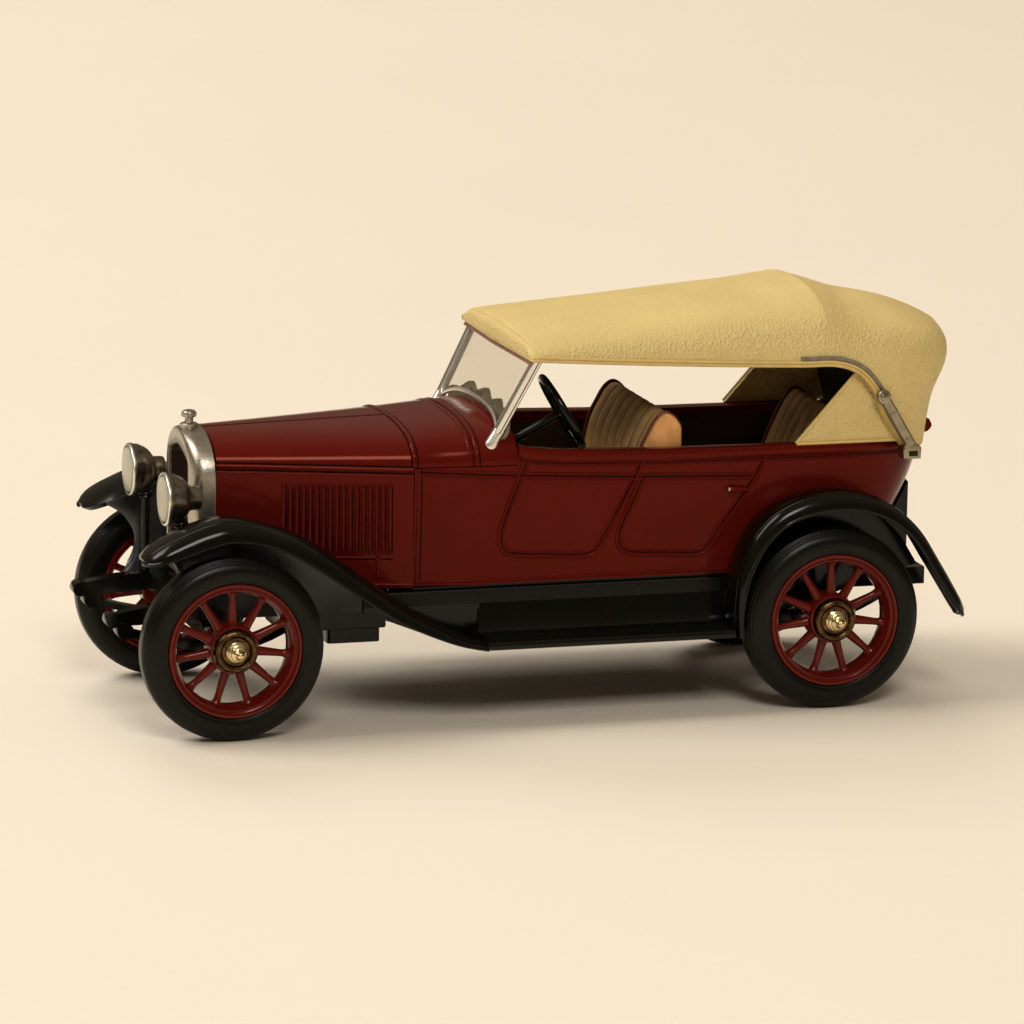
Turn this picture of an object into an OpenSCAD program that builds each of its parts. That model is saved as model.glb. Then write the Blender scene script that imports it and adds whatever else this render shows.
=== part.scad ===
// A 1:43 scale model of an open touring car with its cloth top raised.
// +X points forward, +Y to the car's left and +Z up; the floor is at Z = 0.
// Heights named _h are measured up from the axles, so a taller tyre lifts the whole car.

/* [Overall] */
// Distance between the front and the rear axle
wheelbase = 67.3; // [56:0.1:81]
// Width of the body over its side panels
body_w = 24.6; // [20.5:0.1:29.6]
// Height of the body's top rail above the axles
rail_h = 18.7; // [17.5:0.1:19.5]
// Height of the raised top's ridge above the axles
ridge_h = 35; // [33.5:0.1:42]
// Reach of the spring horns ahead of the front axle
front_overhang = 12.1; // [11.8:0.05:13.5]
// Reach of the raised top behind the rear axle
rear_overhang = 17.3; // [16.8:0.05:19]

/* [Wheels] */
// Radius of the tyre
tyre_r = 10; // [8.3:0.05:12]
// Width of the tyre
tyre_w = 4.2; // [3.5:0.05:5.1]
// Radius of the rim where the tyre sits on it
rim_r = 7.1; // [6.6:0.05:7.6]
// Depth of the rim in from the tyre's seat
rim_wall = 1; // [0.7:0.05:1.2]
// Number of spokes in a wheel
spoke_count = 11; // [8:1:14]
// Radius of a spoke where it leaves the hub
spoke_r = 0.42; // [0.3:0.01:0.5]
// Radius of the hub disc
hub_r = 2.7; // [2.4:0.05:3]
// Radius of the pin that the wheel turns on
pin_r = 1; // [0.8:0.05:1.2]
// Gap between the body side and the tyre
tyre_gap = 1.1; // [0.8:0.05:2]

/* [Wings and boards] */
// Gap between the tyre and the wing's lip
arch_gap = 2; // [1.8:0.05:3]
// Thickness of the wings
wing_wall = 0.6; // [0.5:0.05:0.7]
// Thickness of the running boards
board_t = 1; // [0.8:0.05:1.4]

/* [Body shell] */
// Thickness of the body panels
panel = 0.9; // [0.7:0.05:1.1]
// Thickness of the raised top
cloth = 0.7; // [0.6:0.05:0.8]
// Width of the radiator shell
radiator_w = 13.6; // [12:0.1:15]
// Radius of a headlamp's rim
lamp_r = 2.9; // [2.4:0.05:3.1]

/* [Fits] */
// Gap left where two fixed pieces meet
seam = 0.05; // [0.03:0.01:0.1]
// Gap round the wheel's pin
bearing_gap = 0.05; // [0.02:0.01:0.08]
// Radius of the screw holes under the frame
screw_r = 0.8; // [0.6:0.05:1]

/* [Hidden] */
$fn = 48;

maroon = "#6b1216";
black_gloss = "#0d0d0e";
wheel_red = "#7d1519";
rubber_black = "#1c1c1c";
plated = "#c9c7c2";
pewter = "#8d8a80";
brass = "#c29a4b";
canvas_tan = "#d9c77f";
seat_tan = "#8a6f4a";
brown = "#3a2018";

// Lengthwise anchors
mid_x = (rear_overhang - front_overhang) / 2;
front_x = mid_x + wheelbase / 2;
rear_x = mid_x - wheelbase / 2;
radiator_back_x = front_x - 0.4;
radiator_front_x = front_x + 2.2;
bonnet_back_x = front_x - 21.1;
screen_x = front_x - 30.2;
cowl_back_x = front_x - 32.4;
tail_x = rear_x + 1;
tail_reach = 14.75;

// Crosswise anchors
side_y = body_w / 2;
tyre_in_y = side_y + tyre_gap;
tyre_out_y = tyre_in_y + tyre_w;
wheel_y = (tyre_in_y + tyre_out_y) / 2;
wing_out_y = tyre_out_y + 0.2;
spring_y = 7.9;
spring_w = 1.5;

// Heights above the axles
sill_h = 5;
deck_h = 4.6;
deck_t = 1.1;
belt_h = 17.6;
hinge_h = 18;
board_h = -0.4;
rail_w = 1.8;
frame_low_h = 1.6;
arch_r = tyre_r + arch_gap;

function mix(a, b, t) = a * (1 - t) + b * t;
function unit(v) = v / norm(v);

// A smooth curve through points set by hand, sampled in equal steps
function curve_at(p, t) =
    let (i = min(floor(t), len(p) - 2), f = t - i)
    let (a = p[max(i - 1, 0)], b = p[i], c = p[i + 1], d = p[min(i + 2, len(p) - 1)])
    0.5 * (2 * b + (c - a) * f + (2 * a - 5 * b + 4 * c - d) * pow(f, 2)
        + (3 * b - a - 3 * c + d) * pow(f, 3));
function curve(p, steps) = [for (k = [0:steps]) curve_at(p, k * (len(p) - 1) / steps)];

// Height of an arch of half-width w and the given rise at a distance y from its middle
function arch(y, w, rise, bulge) = rise * pow(max(0, 1 - pow(min(1, abs(y) / w), bulge)), 1 / bulge);

// The outline of a rounded rectangle's upper half, from +w round to -w
function arch_line(w, rise, bulge, steps) = [
    for (k = [0:steps]) let (a = 180 * k / steps)
        [w * sign(cos(a)) * pow(abs(cos(a)), 2 / bulge), rise * pow(sin(a), 2 / bulge)]
];

// The direction a sheet faces at one of its points; level marks the axes it may lean along
function facing(g, i, j, level) =
    let (along = g[min(i + 1, len(g) - 1)][j] - g[max(i - 1, 0)][j])
    let (across = g[i][min(j + 1, len(g[0]) - 1)] - g[i][max(j - 1, 0)])
    let (out = cross(along, across))
    unit([out[0] * level[0], out[1] * level[1], out[2] * level[2]]);

function quad(a, b, c, d) = [[a, b, c], [a, c, d]];

// A curved sheet: rows of points on its outer face, and its thickness inwards.
// A 0 in level keeps its edges flat across that axis.
module sheet(g, thick, level = [1, 1, 1]) {
    m = len(g);
    n = len(g[0]);
    s = m * n;
    inner = [for (i = [0:m - 1], j = [0:n - 1]) g[i][j] - thick * facing(g, i, j, level)];
    outer_faces = [for (i = [0:m - 2], j = [0:n - 2]) let (k = i * n + j)
        each quad(k, k + 1, k + n + 1, k + n)];
    inner_faces = [for (i = [0:m - 2], j = [0:n - 2]) let (k = s + i * n + j)
        each quad(k, k + n, k + n + 1, k + 1)];
    long_edges = [for (i = [0:m - 2]) let (k = i * n)
        each concat(quad(k, k + n, s + k + n, s + k),
            quad(k + 2 * n - 1, k + n - 1, s + k + n - 1, s + k + 2 * n - 1))];
    end_edges = [for (j = [0:n - 2]) let (k = s - n + j)
        each concat(quad(j + 1, j, s + j, s + j + 1), quad(k, k + 1, s + k + 1, s + k))];
    polyhedron(concat([for (row = g) each row], inner),
        concat(outer_faces, inner_faces, long_edges, end_edges), convexity = 6);
}

// Lifts a piece drawn about the axle line up to its place over the floor
module on_axles() {
    translate([0, 0, tyre_r]) children();
}

module both_sides() {
    children();
    mirror([0, 1, 0]) children();
}

// A plate drawn in side view (X, height), standing from y0 to y1
module side_plate(outline, y0, y1) {
    translate([0, y1, 0]) rotate([90, 0, 0]) linear_extrude(y1 - y0) polygon(outline);
}

// A plate drawn in front view (Y, height), running from x0 to x1
module front_plate(outline, x0, x1) {
    translate([x0, 0, 0]) rotate([90, 0, 90]) linear_extrude(x1 - x0) polygon(outline);
}

// ---- Running gear ----

deck_w = body_w - 1.4;
screw_x = 12.5;
boss_r = 2.2;
boss_drop = 3.2;
screw_depth = 4;
frame_front_x = front_x + 3.5;
frame_back_x = rear_x - 13.5;

module frame() {
    deck_front_x = radiator_back_x - 0.5;
    deck_back_x = rear_x - 7;
    color(black_gloss) on_axles() difference() {
        union() {
            both_sides() translate([frame_back_x, spring_y - rail_w / 2, frame_low_h])
                cube([frame_front_x - frame_back_x, rail_w, deck_h - deck_t - frame_low_h]);
            for (x = [frame_back_x, rear_x + 12, front_x - 27, frame_front_x - rail_w])
                translate([x, -spring_y, frame_low_h])
                    cube([rail_w, 2 * spring_y, deck_h - deck_t - frame_low_h]);
            translate([deck_back_x, -deck_w / 2, deck_h - deck_t])
                cube([bonnet_back_x - deck_back_x, deck_w, deck_t]);
            translate([bonnet_back_x - deck_t, -radiator_w / 2, deck_h - deck_t])
                cube([deck_front_x - bonnet_back_x + deck_t, radiator_w, deck_t]);
            for (side = [-1, 1]) translate([side * screw_x, 0, deck_h - deck_t - boss_drop])
                cylinder(h = boss_drop + deck_t / 2, r = boss_r);
        }
        for (side = [-1, 1]) translate([side * screw_x, 0, deck_h - deck_t - boss_drop - 1])
            cylinder(h = screw_depth - 0.2 + 1, r = screw_r);
    }
}

// One curved horn of the frame with its leaf spring slung below the axle
module front_spring() {
    eye_x = front_x + front_overhang - 0.8;
    eye_h = 2;
    horn_back_x = frame_front_x + seam;
    horn = concat(
        curve([[horn_back_x, deck_h - deck_t], [eye_x - 4, 3.3], [eye_x - 0.6, 2.7]], 10),
        curve([[eye_x - 0.6, 1.3], [eye_x - 4, 1.4], [horn_back_x, frame_low_h]], 8));
    leaf_back_x = front_x - 9.5;
    leaf_top = [[eye_x - 1.3, 1], [front_x + 5, -0.3], [front_x, -pin_r - seam],
        [front_x - 5, -0.5], [leaf_back_x, frame_low_h - 0.25]];
    leaf_low = [[leaf_back_x, 0.6], [front_x - 5, -1.5], [front_x, -pin_r - 1.1],
        [front_x + 5, -1.1], [eye_x - 1.3, 0.2]];
    side_plate(horn, spring_y - spring_w / 2, spring_y + spring_w / 2);
    side_plate(concat(curve(leaf_top, 16), curve(leaf_low, 16)),
        spring_y - spring_w / 2, spring_y + spring_w / 2);
    translate([eye_x, spring_y, eye_h]) rotate([90, 0, 0])
        cylinder(h = spring_w + 0.5, r = 0.8, center = true);
    translate([eye_x - 1.3, spring_y, eye_h - 1.2]) rotate([90, 0, 0])
        cylinder(h = spring_w + 0.5, r = 0.9, center = true);
}

module front_springs() {
    color(black_gloss) on_axles() both_sides() front_spring();
}

module rear_springs() {
    reach = 9.5;
    end_h = frame_low_h - 0.25;
    top = [[rear_x + reach, end_h], [rear_x + 5, -0.5], [rear_x, -pin_r - seam], [rear_x - 5, -0.5],
        [rear_x - reach, end_h]];
    low = [[rear_x - reach, 0.6], [rear_x - 5, -1.5], [rear_x, -pin_r - 1.1], [rear_x + 5, -1.5],
        [rear_x + reach, 0.6]];
    color(black_gloss) on_axles() both_sides()
        side_plate(concat(curve(top, 16), curve(low, 16)),
            spring_y - spring_w / 2, spring_y + spring_w / 2);
}

module sump() {
    pan_back_x = front_x - 20.5;
    color(black_gloss) on_axles() {
        translate([pan_back_x, -3.4, -1.6]) cube([12, 6.8, deck_h - deck_t + 1.6 - seam]);
        translate([pan_back_x + 0.5, -2.6, -3.3]) cube([6, 5.2, 1.8]);
    }
}

// A dead axle: a bar between the springs and a turned pin at each end for the wheels
module axle(x, beam_h, beam_w) {
    beam_y = spring_y - spring_w / 2 - 0.2;
    collar_y = spring_y + spring_w / 2 + 0.2;
    pin_end_y = wheel_y + 1.2;
    color(black_gloss) on_axles() translate([x, 0, 0]) {
        translate([-beam_w / 2, -beam_y, -beam_h / 2]) cube([beam_w, 2 * beam_y, beam_h]);
        rotate([90, 0, 0]) cylinder(h = 2 * pin_end_y, r = pin_r, center = true);
        both_sides() translate([0, tyre_in_y - 0.3, 0]) rotate([90, 0, 0])
            cylinder(h = tyre_in_y - 0.3 - collar_y, r = pin_r + 0.5);
    }
}

module front_axle() {
    axle(front_x, 1.6, 2.2);
}

module rear_axle() {
    axle(rear_x, 2, 2);
    color(black_gloss) on_axles() translate([rear_x, 0, 0]) sphere(r = 2.6);
}

// ---- Wheels ----

// Places a left-hand wheel, drawn with its axis up and its outer face upwards
module at_wheel(x, side) {
    translate([x, 0, tyre_r]) mirror([0, side < 0 ? 1 : 0, 0])
        translate([0, wheel_y, 0]) rotate([-90, 0, 0]) children();
}

hub_half = 1.5;
cap_t = 0.5;

module wheel(x, side) {
    inner_r = rim_r - rim_wall;
    flange_r = inner_r + 0.35;
    half = tyre_w / 2 - 0.3;
    spoke_root_r = hub_r - 0.5;
    color(wheel_red) at_wheel(x, side) difference() {
        union() {
            rotate_extrude($fn = 96) polygon([
                [inner_r, -half], [rim_r, -half], [rim_r, half], [flange_r + 0.3, half],
                [flange_r, half - 0.35], [inner_r, half - 0.35]]);
            translate([0, 0, -hub_half]) cylinder(h = 2 * hub_half, r = hub_r);
            for (k = [0:spoke_count - 1]) rotate([0, 0, 90 + 360 * k / spoke_count])
                translate([spoke_root_r, 0, 0]) rotate([0, 90, 0])
                    cylinder(h = inner_r + rim_wall / 2 - spoke_root_r, r1 = spoke_r + 0.1, r2 = spoke_r - 0.08);
        }
        translate([0, 0, -hub_half - 1]) cylinder(h = 2 * hub_half + 2, r = pin_r + bearing_gap);
    }
}

// A round-shouldered tyre with fine ribs round its tread
module tyre(x, side) {
    half = tyre_w / 2;
    widest_r = rim_r + 1;
    shoulder = [for (k = [0:14]) let (a = 90 - 180 * k / 14)
        [widest_r + (tyre_r - widest_r) * pow(cos(a), 0.75), half * sign(sin(a)) * pow(abs(sin(a)), 0.8)]];
    color(rubber_black) at_wheel(x, side) rotate_extrude($fn = 96) polygon(
        concat([[rim_r + seam, half - 0.35]], shoulder, [[rim_r + seam, 0.35 - half]]));
}

// The bronze cup pressed on the hub's face, with its brass knob
module hub_cap(x, side) {
    face = hub_half + seam;
    color(brass) at_wheel(x, side) rotate_extrude() polygon([
        [0, face], [hub_r - 0.35, face], [hub_r - 0.45, face + cap_t + 0.2], [hub_r - 0.9, face + cap_t + 0.35],
        [1.5, face + cap_t], [1.06, face + cap_t + 0.1], [1.06, face + 1.3], [0.75, face + 1.5],
        [0.85, face + 1.9], [0.45, face + 2.2], [0.35, face + 2.7], [0, face + 2.8]]);
}

module wheel_front_left() { wheel(front_x, 1); }
module wheel_front_right() { wheel(front_x, -1); }
module wheel_rear_left() { wheel(rear_x, 1); }
module wheel_rear_right() { wheel(rear_x, -1); }
module tyre_front_left() { tyre(front_x, 1); }
module tyre_front_right() { tyre(front_x, -1); }
module tyre_rear_left() { tyre(rear_x, 1); }
module tyre_rear_right() { tyre(rear_x, -1); }
module hub_cap_front_left() { hub_cap(front_x, 1); }
module hub_cap_front_right() { hub_cap(front_x, -1); }
module hub_cap_rear_left() { hub_cap(rear_x, 1); }
module hub_cap_rear_right() { hub_cap(rear_x, -1); }

// ---- Wings and running boards ----

// One point across a wing: s runs from the outer lip (0) to the edge beside the body (1)
function wing_rise(s, rise, drop) =
    let (top = 0.45, t = min(1, s / top), u = max(0, (s - top) / (1 - top)))
    rise * (pow(1 - pow(1 - t, 2.4), 1 / 2.4) - drop * u * u);

// Rows along a wing. Each lip point is [x, height, rise, outer y, inner y] from its axle,
// with x and height in arch radii so that the wing grows with the tyre.
function wing_rows(lip, axle_x, drop, steps) =
    let (line = curve(lip, steps))
    [for (i = [0:steps])
        let (p = line[i], q = line[min(i + 1, steps)], o = line[max(i - 1, 0)])
        let (run = unit([q[0] - o[0], q[1] - o[1]]))
        [for (k = [0:10]) let (s = pow(k / 10, 1.5), lift = wing_rise(s, p[2], drop))
            [axle_x + p[0] * arch_r + lift * run[1], mix(p[3], p[4], s), p[1] * arch_r - lift * run[0]]]];

front_wing_run = 2.33;
rear_wing_run = 0.9;
board_front_x = front_x - front_wing_run * arch_r - 3 * seam;
wing_swell = 0.65;
board_back_x = rear_x + rear_wing_run * arch_r + wing_swell;
wing_in_y = 10.7;

front_lip = [
    [0.8, 0.83, 0.15, wing_out_y - 1.2, wing_in_y + 2],
    [0.74, 0.815, 0.9, wing_out_y - 0.4, wing_in_y + 1],
    [0.5, 0.875, 1.9, wing_out_y, wing_in_y],
    [0.22, 0.965, 2.2, wing_out_y, wing_in_y],
    [0, 1, 2.1, wing_out_y, wing_in_y],
    [-0.33, 0.94, 1.8, wing_out_y, wing_in_y],
    [-0.66, 0.775, 1.9, wing_out_y, wing_in_y],
    [-1.15, 0.44, 1.8, wing_out_y, wing_in_y],
    [-1.53, 0.19, 1.5, wing_out_y, wing_in_y + 0.6],
    [-1.85, 0.04, 1.1, wing_out_y, wing_in_y + 1.4],
    [-2.1, -0.05, 0.7, wing_out_y, side_y + 0.6],
    [-front_wing_run, -0.1, 0.55, wing_out_y, side_y + 0.6]
];

rear_lip = [
    [0.9, -0.12, 0.3, wing_out_y, side_y + 0.25],
    [0.885, 0.15, 0.8, wing_out_y, side_y + 0.25],
    [0.82, 0.45, 1.2, wing_out_y, side_y + 0.25],
    [0.66, 0.75, 1.6, wing_out_y, side_y + 0.25],
    [0.4, 0.95, 1.8, wing_out_y, side_y + 0.25],
    [0, 1.03, 1.9, wing_out_y, side_y + 0.25],
    [-0.4, 0.965, 1.6, wing_out_y, side_y + 0.25],
    [-0.72, 0.75, 1.3, wing_out_y, side_y + 0.25],
    [-0.95, 0.42, 1.2, wing_out_y, side_y + 0.25],
    [-1.16, 0.12, 0.9, wing_out_y - 0.1, side_y + 0.25],
    [-1.28, -0.02, 0.15, wing_out_y - 1.2, side_y + 1.4]
];

module front_wing() {
    rows = wing_rows(front_lip, front_x, 0.6, 34);
    sheet(rows, wing_wall);
    apron_top = [for (i = [4:3:16]) rows[i][10] + [0, 0, -wing_wall]];
    apron_rows = [for (p = apron_top)
        [for (k = [0:4]) [p[0] - 0.4 * k, mix(p[1], spring_y + rail_w / 2 + seam, k / 4) + 0.6,
            mix(p[2], deck_h - deck_t - 0.3, k / 4)]]];
    sheet(apron_rows, wing_wall);
}

module rear_wing() {
    sheet([for (row = wing_rows(rear_lip, rear_x, 0.25, 30)) row], wing_wall);
}

module front_wing_left() { color(black_gloss) on_axles() front_wing(); }
module front_wing_right() { color(black_gloss) on_axles() mirror([0, 1, 0]) front_wing(); }
module rear_wing_left() { color(black_gloss) on_axles() rear_wing(); }
module rear_wing_right() { color(black_gloss) on_axles() mirror([0, 1, 0]) rear_wing(); }

// A running board with the splash apron that rises from its inner edge to the frame
module running_board() {
    apron_y = deck_w / 2 + seam;
    apron = concat(
        curve([[side_y + 1, board_h - board_t], [side_y + 0.6, 0.5], [side_y + 0.1, 2.4],
            [apron_y + 0.6, deck_h - 0.3]], 12),
        curve([[apron_y, deck_h - 0.3], [apron_y + 0.05, 2.4], [side_y, 0.4],
            [side_y + 0.3, board_h - board_t]], 12));
    nose = board_t / 2;
    slab = concat([[side_y + 0.6, board_h], [side_y + 0.6, board_h - board_t]],
        [for (a = [-90:15:90]) [wing_out_y - nose + nose * cos(a), board_h - nose + nose * sin(a)]]);
    front_plate(slab, board_back_x, board_front_x);
    front_plate(apron, board_back_x, board_front_x);
}

module running_board_left() { color(black_gloss) on_axles() running_board(); }
module running_board_right() { color(black_gloss) on_axles() mirror([0, 1, 0]) running_board(); }

// ---- Radiator, lamps and bonnet ----

nose_rise = 4.4;
nose_bulge = 2;
radiator_low_h = deck_h + seam;
core_w = 9;

function radiator_outline(w, top, low) = concat(
    [for (p = arch_line(w / 2, nose_rise, nose_bulge, 24)) [p[0], p[1] + top - nose_rise]],
    [[-w / 2, low], [w / 2, low]]);

function core_outline(w, low, top) = [
    [w / 2, low], [w / 2, top - 1.7], [w / 2 - 0.5, top - 1], [0, top], [0.5 - w / 2, top - 1],
    [-w / 2, top - 1.7], [-w / 2, low]];

radiator_top_h = 21.1;

module radiator_shell() {
    color(plated) on_axles() difference() {
        front_plate(radiator_outline(radiator_w, radiator_top_h, radiator_low_h),
            radiator_back_x, radiator_front_x);
        front_plate(core_outline(core_w, radiator_low_h + 1.2, radiator_top_h - 1.9),
            radiator_back_x - 1, radiator_front_x + 1);
    }
}

module radiator_core() {
    color(brown) on_axles() front_plate(
        core_outline(core_w - 2 * seam, radiator_low_h + 1.2 + seam, radiator_top_h - 1.9 - seam),
        radiator_back_x + 0.1, radiator_front_x - 0.7);
}

module radiator_cap() {
    color(plated) on_axles() translate([front_x + 0.95, 0, radiator_top_h - 0.1]) rotate_extrude() polygon([
        [0, 0.15], [1.15, 0.15], [1.15, 0.5], [0.55, 0.7], [0.55, 1.3], [0.88, 1.4], [0.92, 2.05],
        [0.7, 2.25], [0, 2.35]]);
}

lamp_h = 14.9;
lamp_y = 8.2;
lamp_front_x = front_x + 5.8;

module lamp_bowl() {
    stem_r = 0.5;
    translate([lamp_front_x, lamp_y, lamp_h]) rotate([0, -90, 0]) rotate_extrude() polygon([
        [lamp_r - 0.4, 0], [lamp_r - 0.1, 0], [lamp_r, 0.25], [lamp_r, 0.6], [lamp_r - 0.25, 1.4],
        [lamp_r - 0.8, 2.3], [1.35, 2.9], [1.3, 3.9], [1.1, 4.1], [0, 4.1], [0, 0.9], [lamp_r - 0.4, 0.9]]);
    translate([lamp_front_x - 2, lamp_y, deck_h - deck_t + seam])
        cylinder(h = lamp_h - lamp_r + 0.9 - deck_h + deck_t - seam, r = stem_r);
}

module headlamps() {
    color(pewter) on_axles() both_sides() lamp_bowl();
}

module lamp_lenses() {
    lens_r = lamp_r - 0.4 - seam;
    color("#e9e2cf") on_axles() both_sides() translate([lamp_front_x - 0.85, lamp_y, lamp_h])
        rotate([0, 90, 0]) rotate_extrude() polygon(concat([[0, 0], [lens_r, 0], [lens_r, 0.6]],
            [for (k = [1:6]) [lens_r * cos(15 * k), 0.6 + 0.35 * sin(15 * k)]]));
}

// Cross-section of the bonnet and cowl at a place along the car, as rows for a sheet
function hood_row(x, w, low, hinge, top, bulge) = concat(
    [for (k = [0:3]) [x, w, mix(low, hinge, k / 4)]],
    [for (p = arch_line(w, top - hinge, bulge, 24)) [x, p[0], hinge + p[1]]],
    [for (k = [3:-1:0]) [x, -w, mix(low, hinge, k / 4)]]);

bonnet_back_w = side_y - 0.7;
bonnet_top_h = 21.5;

module bonnet() {
    front = radiator_back_x - seam;
    back = bonnet_back_x + seam;
    color(maroon) on_axles() sheet([for (k = [4:-1:0]) let (t = k / 4)
        hood_row(mix(back, front, t), mix(bonnet_back_w, radiator_w / 2 - 0.1, t), deck_h + seam,
            mix(belt_h, hinge_h, t), mix(bonnet_top_h, radiator_top_h - 0.1, t),
            mix(2.6, nose_bulge, t))], panel, [0, 1, 1]);
}

function ease(t) = let (c = min(1, max(0, t))) c * c * (3 - 2 * c);
function cowl_w(x) = mix(bonnet_back_w, side_y, ease((bonnet_back_x - x) / 9));
function cowl_top(x) =
    mix(bonnet_top_h, bonnet_top_h + 0.9, (bonnet_back_x - x) / (bonnet_back_x - cowl_back_x));
cowl_base_h = belt_h + 0.2;

module cowl() {
    front = bonnet_back_x - seam;
    color(maroon) on_axles() sheet([for (k = [8:-1:0]) let (x = mix(cowl_back_x, front, k / 8))
        [for (p = arch_line(cowl_w(x), cowl_top(x) - cowl_base_h, 2.6, 28))
            [x, p[0], cowl_base_h + p[1]]]], panel, [0, 1, 1]);
}

// ---- Body shell ----

tub_bulge = 3.4;
tail_bottom_reach = 7.95;
tail_steps = 14;

// Reach of the tail behind tail_x at a height
function tail_depth(h) =
    mix(tail_reach, tail_bottom_reach, pow(max(0, 1 - (h - sill_h) / (rail_h - sill_h)), 1.6));

// One upright row of the tub: side +1 or -1, and how far round the tail it stands in degrees
function tub_row(x, turn, side, top) = [
    for (k = [5:-1:0]) let (h = mix(top, deck_h + seam, k / 5), tuck = 0.5 * pow(k / 5, 2))
        turn < 0 ? [x, side * (cowl_w(x) - tuck), h] :
        [tail_x - tail_depth(h) * pow(cos(90 - turn), 2 / tub_bulge),
            side * (side_y - tuck) * pow(cos(turn), 2 / tub_bulge), h]];

side_stations = [
    [bonnet_back_x - seam, cowl_base_h - 2 * seam], [bonnet_back_x - seam - 0.5, cowl_base_h - 2 * seam],
    [bonnet_back_x - 4, cowl_base_h - 2 * seam], [bonnet_back_x - 8, cowl_base_h - 2 * seam],
    [cowl_back_x, cowl_base_h - 2 * seam], [cowl_back_x - 3 * seam, rail_h + 1.1],
    [cowl_back_x - 1.5, rail_h + 0.7], [cowl_back_x - 5, rail_h + 0.35],
    [mix(cowl_back_x, tail_x, 0.5), rail_h], [tail_x, rail_h - 0.1]
];

module body_tub() {
    left = concat(
        [for (s = side_stations) tub_row(s[0], -1, 1, s[1])],
        [for (k = [1:tail_steps]) tub_row(0, 90 * k / tail_steps, 1, rail_h - 0.1)]);
    right = [for (i = [len(left) - 2:-1:0]) [for (p = left[i]) [p[0], -p[1], p[2]]]];
    color(maroon) on_axles() sheet(concat(left, right), panel, [1, 1, 0]);
}

// The rolled lip that passes under the raised top's back edge and turns up behind it
module tail_roll() {
    lip_t = 0.8;
    lip_h = rail_h - 0.1;
    neck_h = rail_h - 1.2;
    front_lip_x = rear_x - rear_overhang + 2.2;
    root_x = tail_x - tail_depth(neck_h) - seam;
    roll_y = 3.5;
    outline = concat([[root_x, neck_h], [front_lip_x, neck_h]],
        [for (a = [0:30:180])
            [front_lip_x - lip_t / 2 * (1 - cos(a)), lip_h + lip_t / 2 * sin(a)]],
        [[front_lip_x - lip_t, neck_h - 0.4], [front_lip_x - lip_t + 0.4, neck_h - 0.8],
            [root_x, neck_h - 1.2]]);
    color(maroon) on_axles() side_plate(outline, -roll_y, roll_y);
}

function inner_side_y(h) = side_y - panel - seam - 0.5 * pow((rail_h - h) / (rail_h - sill_h), 2);

module floor() {
    floor_w = 2 * inner_side_y(deck_h) - 4 * seam;
    floor_front_x = screen_x;
    floor_back_x = tail_x - 1.5;
    color(brown) on_axles() translate([floor_back_x, -floor_w / 2, deck_h + seam])
        cube([floor_front_x - floor_back_x, floor_w, 1]);
}

floor_top_h = deck_h + seam + 1;

module dashboard() {
    w = side_y - panel - 0.35;
    top_rise = cowl_top(cowl_back_x) - cowl_base_h - panel - 0.4;
    outline = concat([for (p = arch_line(w, top_rise, 2.6, 20)) [p[0], p[1] + cowl_base_h]],
        [[-w, cowl_base_h - 4.5], [w, cowl_base_h - 4.5]]);
    color(brown) on_axles() front_plate(outline, cowl_back_x + 0.3, cowl_back_x + 1.3);
}

// ---- Seats and steering ----

cushion_h = 12.4;

// A bench: a cushion on its box, and a leaning back with a rounded top
module bench(back_x, back_top_h, seat_y) {
    lean = 3.3;
    depth = 9;
    back = concat(
        curve([[back_x + 2.9, cushion_h + seam], [back_x + 1.2, back_top_h - 4],
            [back_x - 0.6, back_top_h - 0.6]], 8),
        curve([[back_x - 1.2, back_top_h], [back_x - 2.4, back_top_h - 0.4], [back_x - lean, back_top_h - 2.4],
            [back_x - lean, cushion_h]], 10),
        [[back_x - lean + 1, floor_top_h + seam], [back_x - lean + 3, floor_top_h + seam],
            [back_x - lean + 3, cushion_h - 2]]);
    cushion = concat([[back_x + 0.1, floor_top_h + seam], [back_x + depth, floor_top_h + seam]],
        curve([[back_x + depth, cushion_h - 1.5], [back_x + depth - 0.5, cushion_h - 0.3],
            [back_x + depth - 2, cushion_h], [back_x + 0.1, cushion_h - 0.4]], 10));
    side_plate(back, -seat_y, seat_y);
    side_plate(cushion, -seat_y, seat_y);
}

front_seat_x = screen_x - 18.2;
rear_seat_x = tail_x - 3.4;

module front_seat() { color(seat_tan) on_axles() bench(front_seat_x, 22.3, side_y - panel - 1.1); }
module rear_seat() { color(seat_tan) on_axles() bench(rear_seat_x, 20.8, side_y - panel - 1.8); }

module steering_wheel() {
    rake = 60;
    ring_r = 4.3;
    grip_r = 0.55;
    column = 8.05;
    color(black_gloss) on_axles() translate([screen_x - 9.1, 6, 22.1]) rotate([0, -rake, 0]) {
        rotate_extrude() translate([ring_r, 0]) circle(r = grip_r);
        for (k = [0:3]) rotate([0, 0, 45 + 90 * k]) rotate([0, 90, 0]) cylinder(h = ring_r, r = 0.35);
        translate([0, 0, -0.6]) cylinder(h = 1.2, r = 0.95);
        translate([0, 0, -column]) cylinder(h = column, r = 0.5);
    }
}

// ---- Windscreen ----

screen_lean = 27.4;
screen_base_h = 20.6;
screen_base_w = 11.7;
screen_top_w = 12.6;
screen_len = 9.3;
post = 1.25;
frame_t = 0.9;

// Height up the leaning screen at which it meets the cowl, a distance y from the middle
function screen_foot(y) =
    (cowl_base_h - screen_base_h + 0.12 + arch(y, side_y, cowl_top(screen_x - 1.5) - cowl_base_h, 2.6))
        / cos(screen_lean);

function screen_side(v) = mix(screen_base_w, screen_top_w, v / screen_len);

// The screen's outline with its edges moved in
function screen_outline(inset, foot) = concat(
    [for (k = [-12:12]) let (y = (screen_base_w - inset) * k / 12) [y, screen_foot(y) + foot]],
    [[screen_top_w - inset, screen_len - inset], [inset - screen_top_w, screen_len - inset]]);

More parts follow.
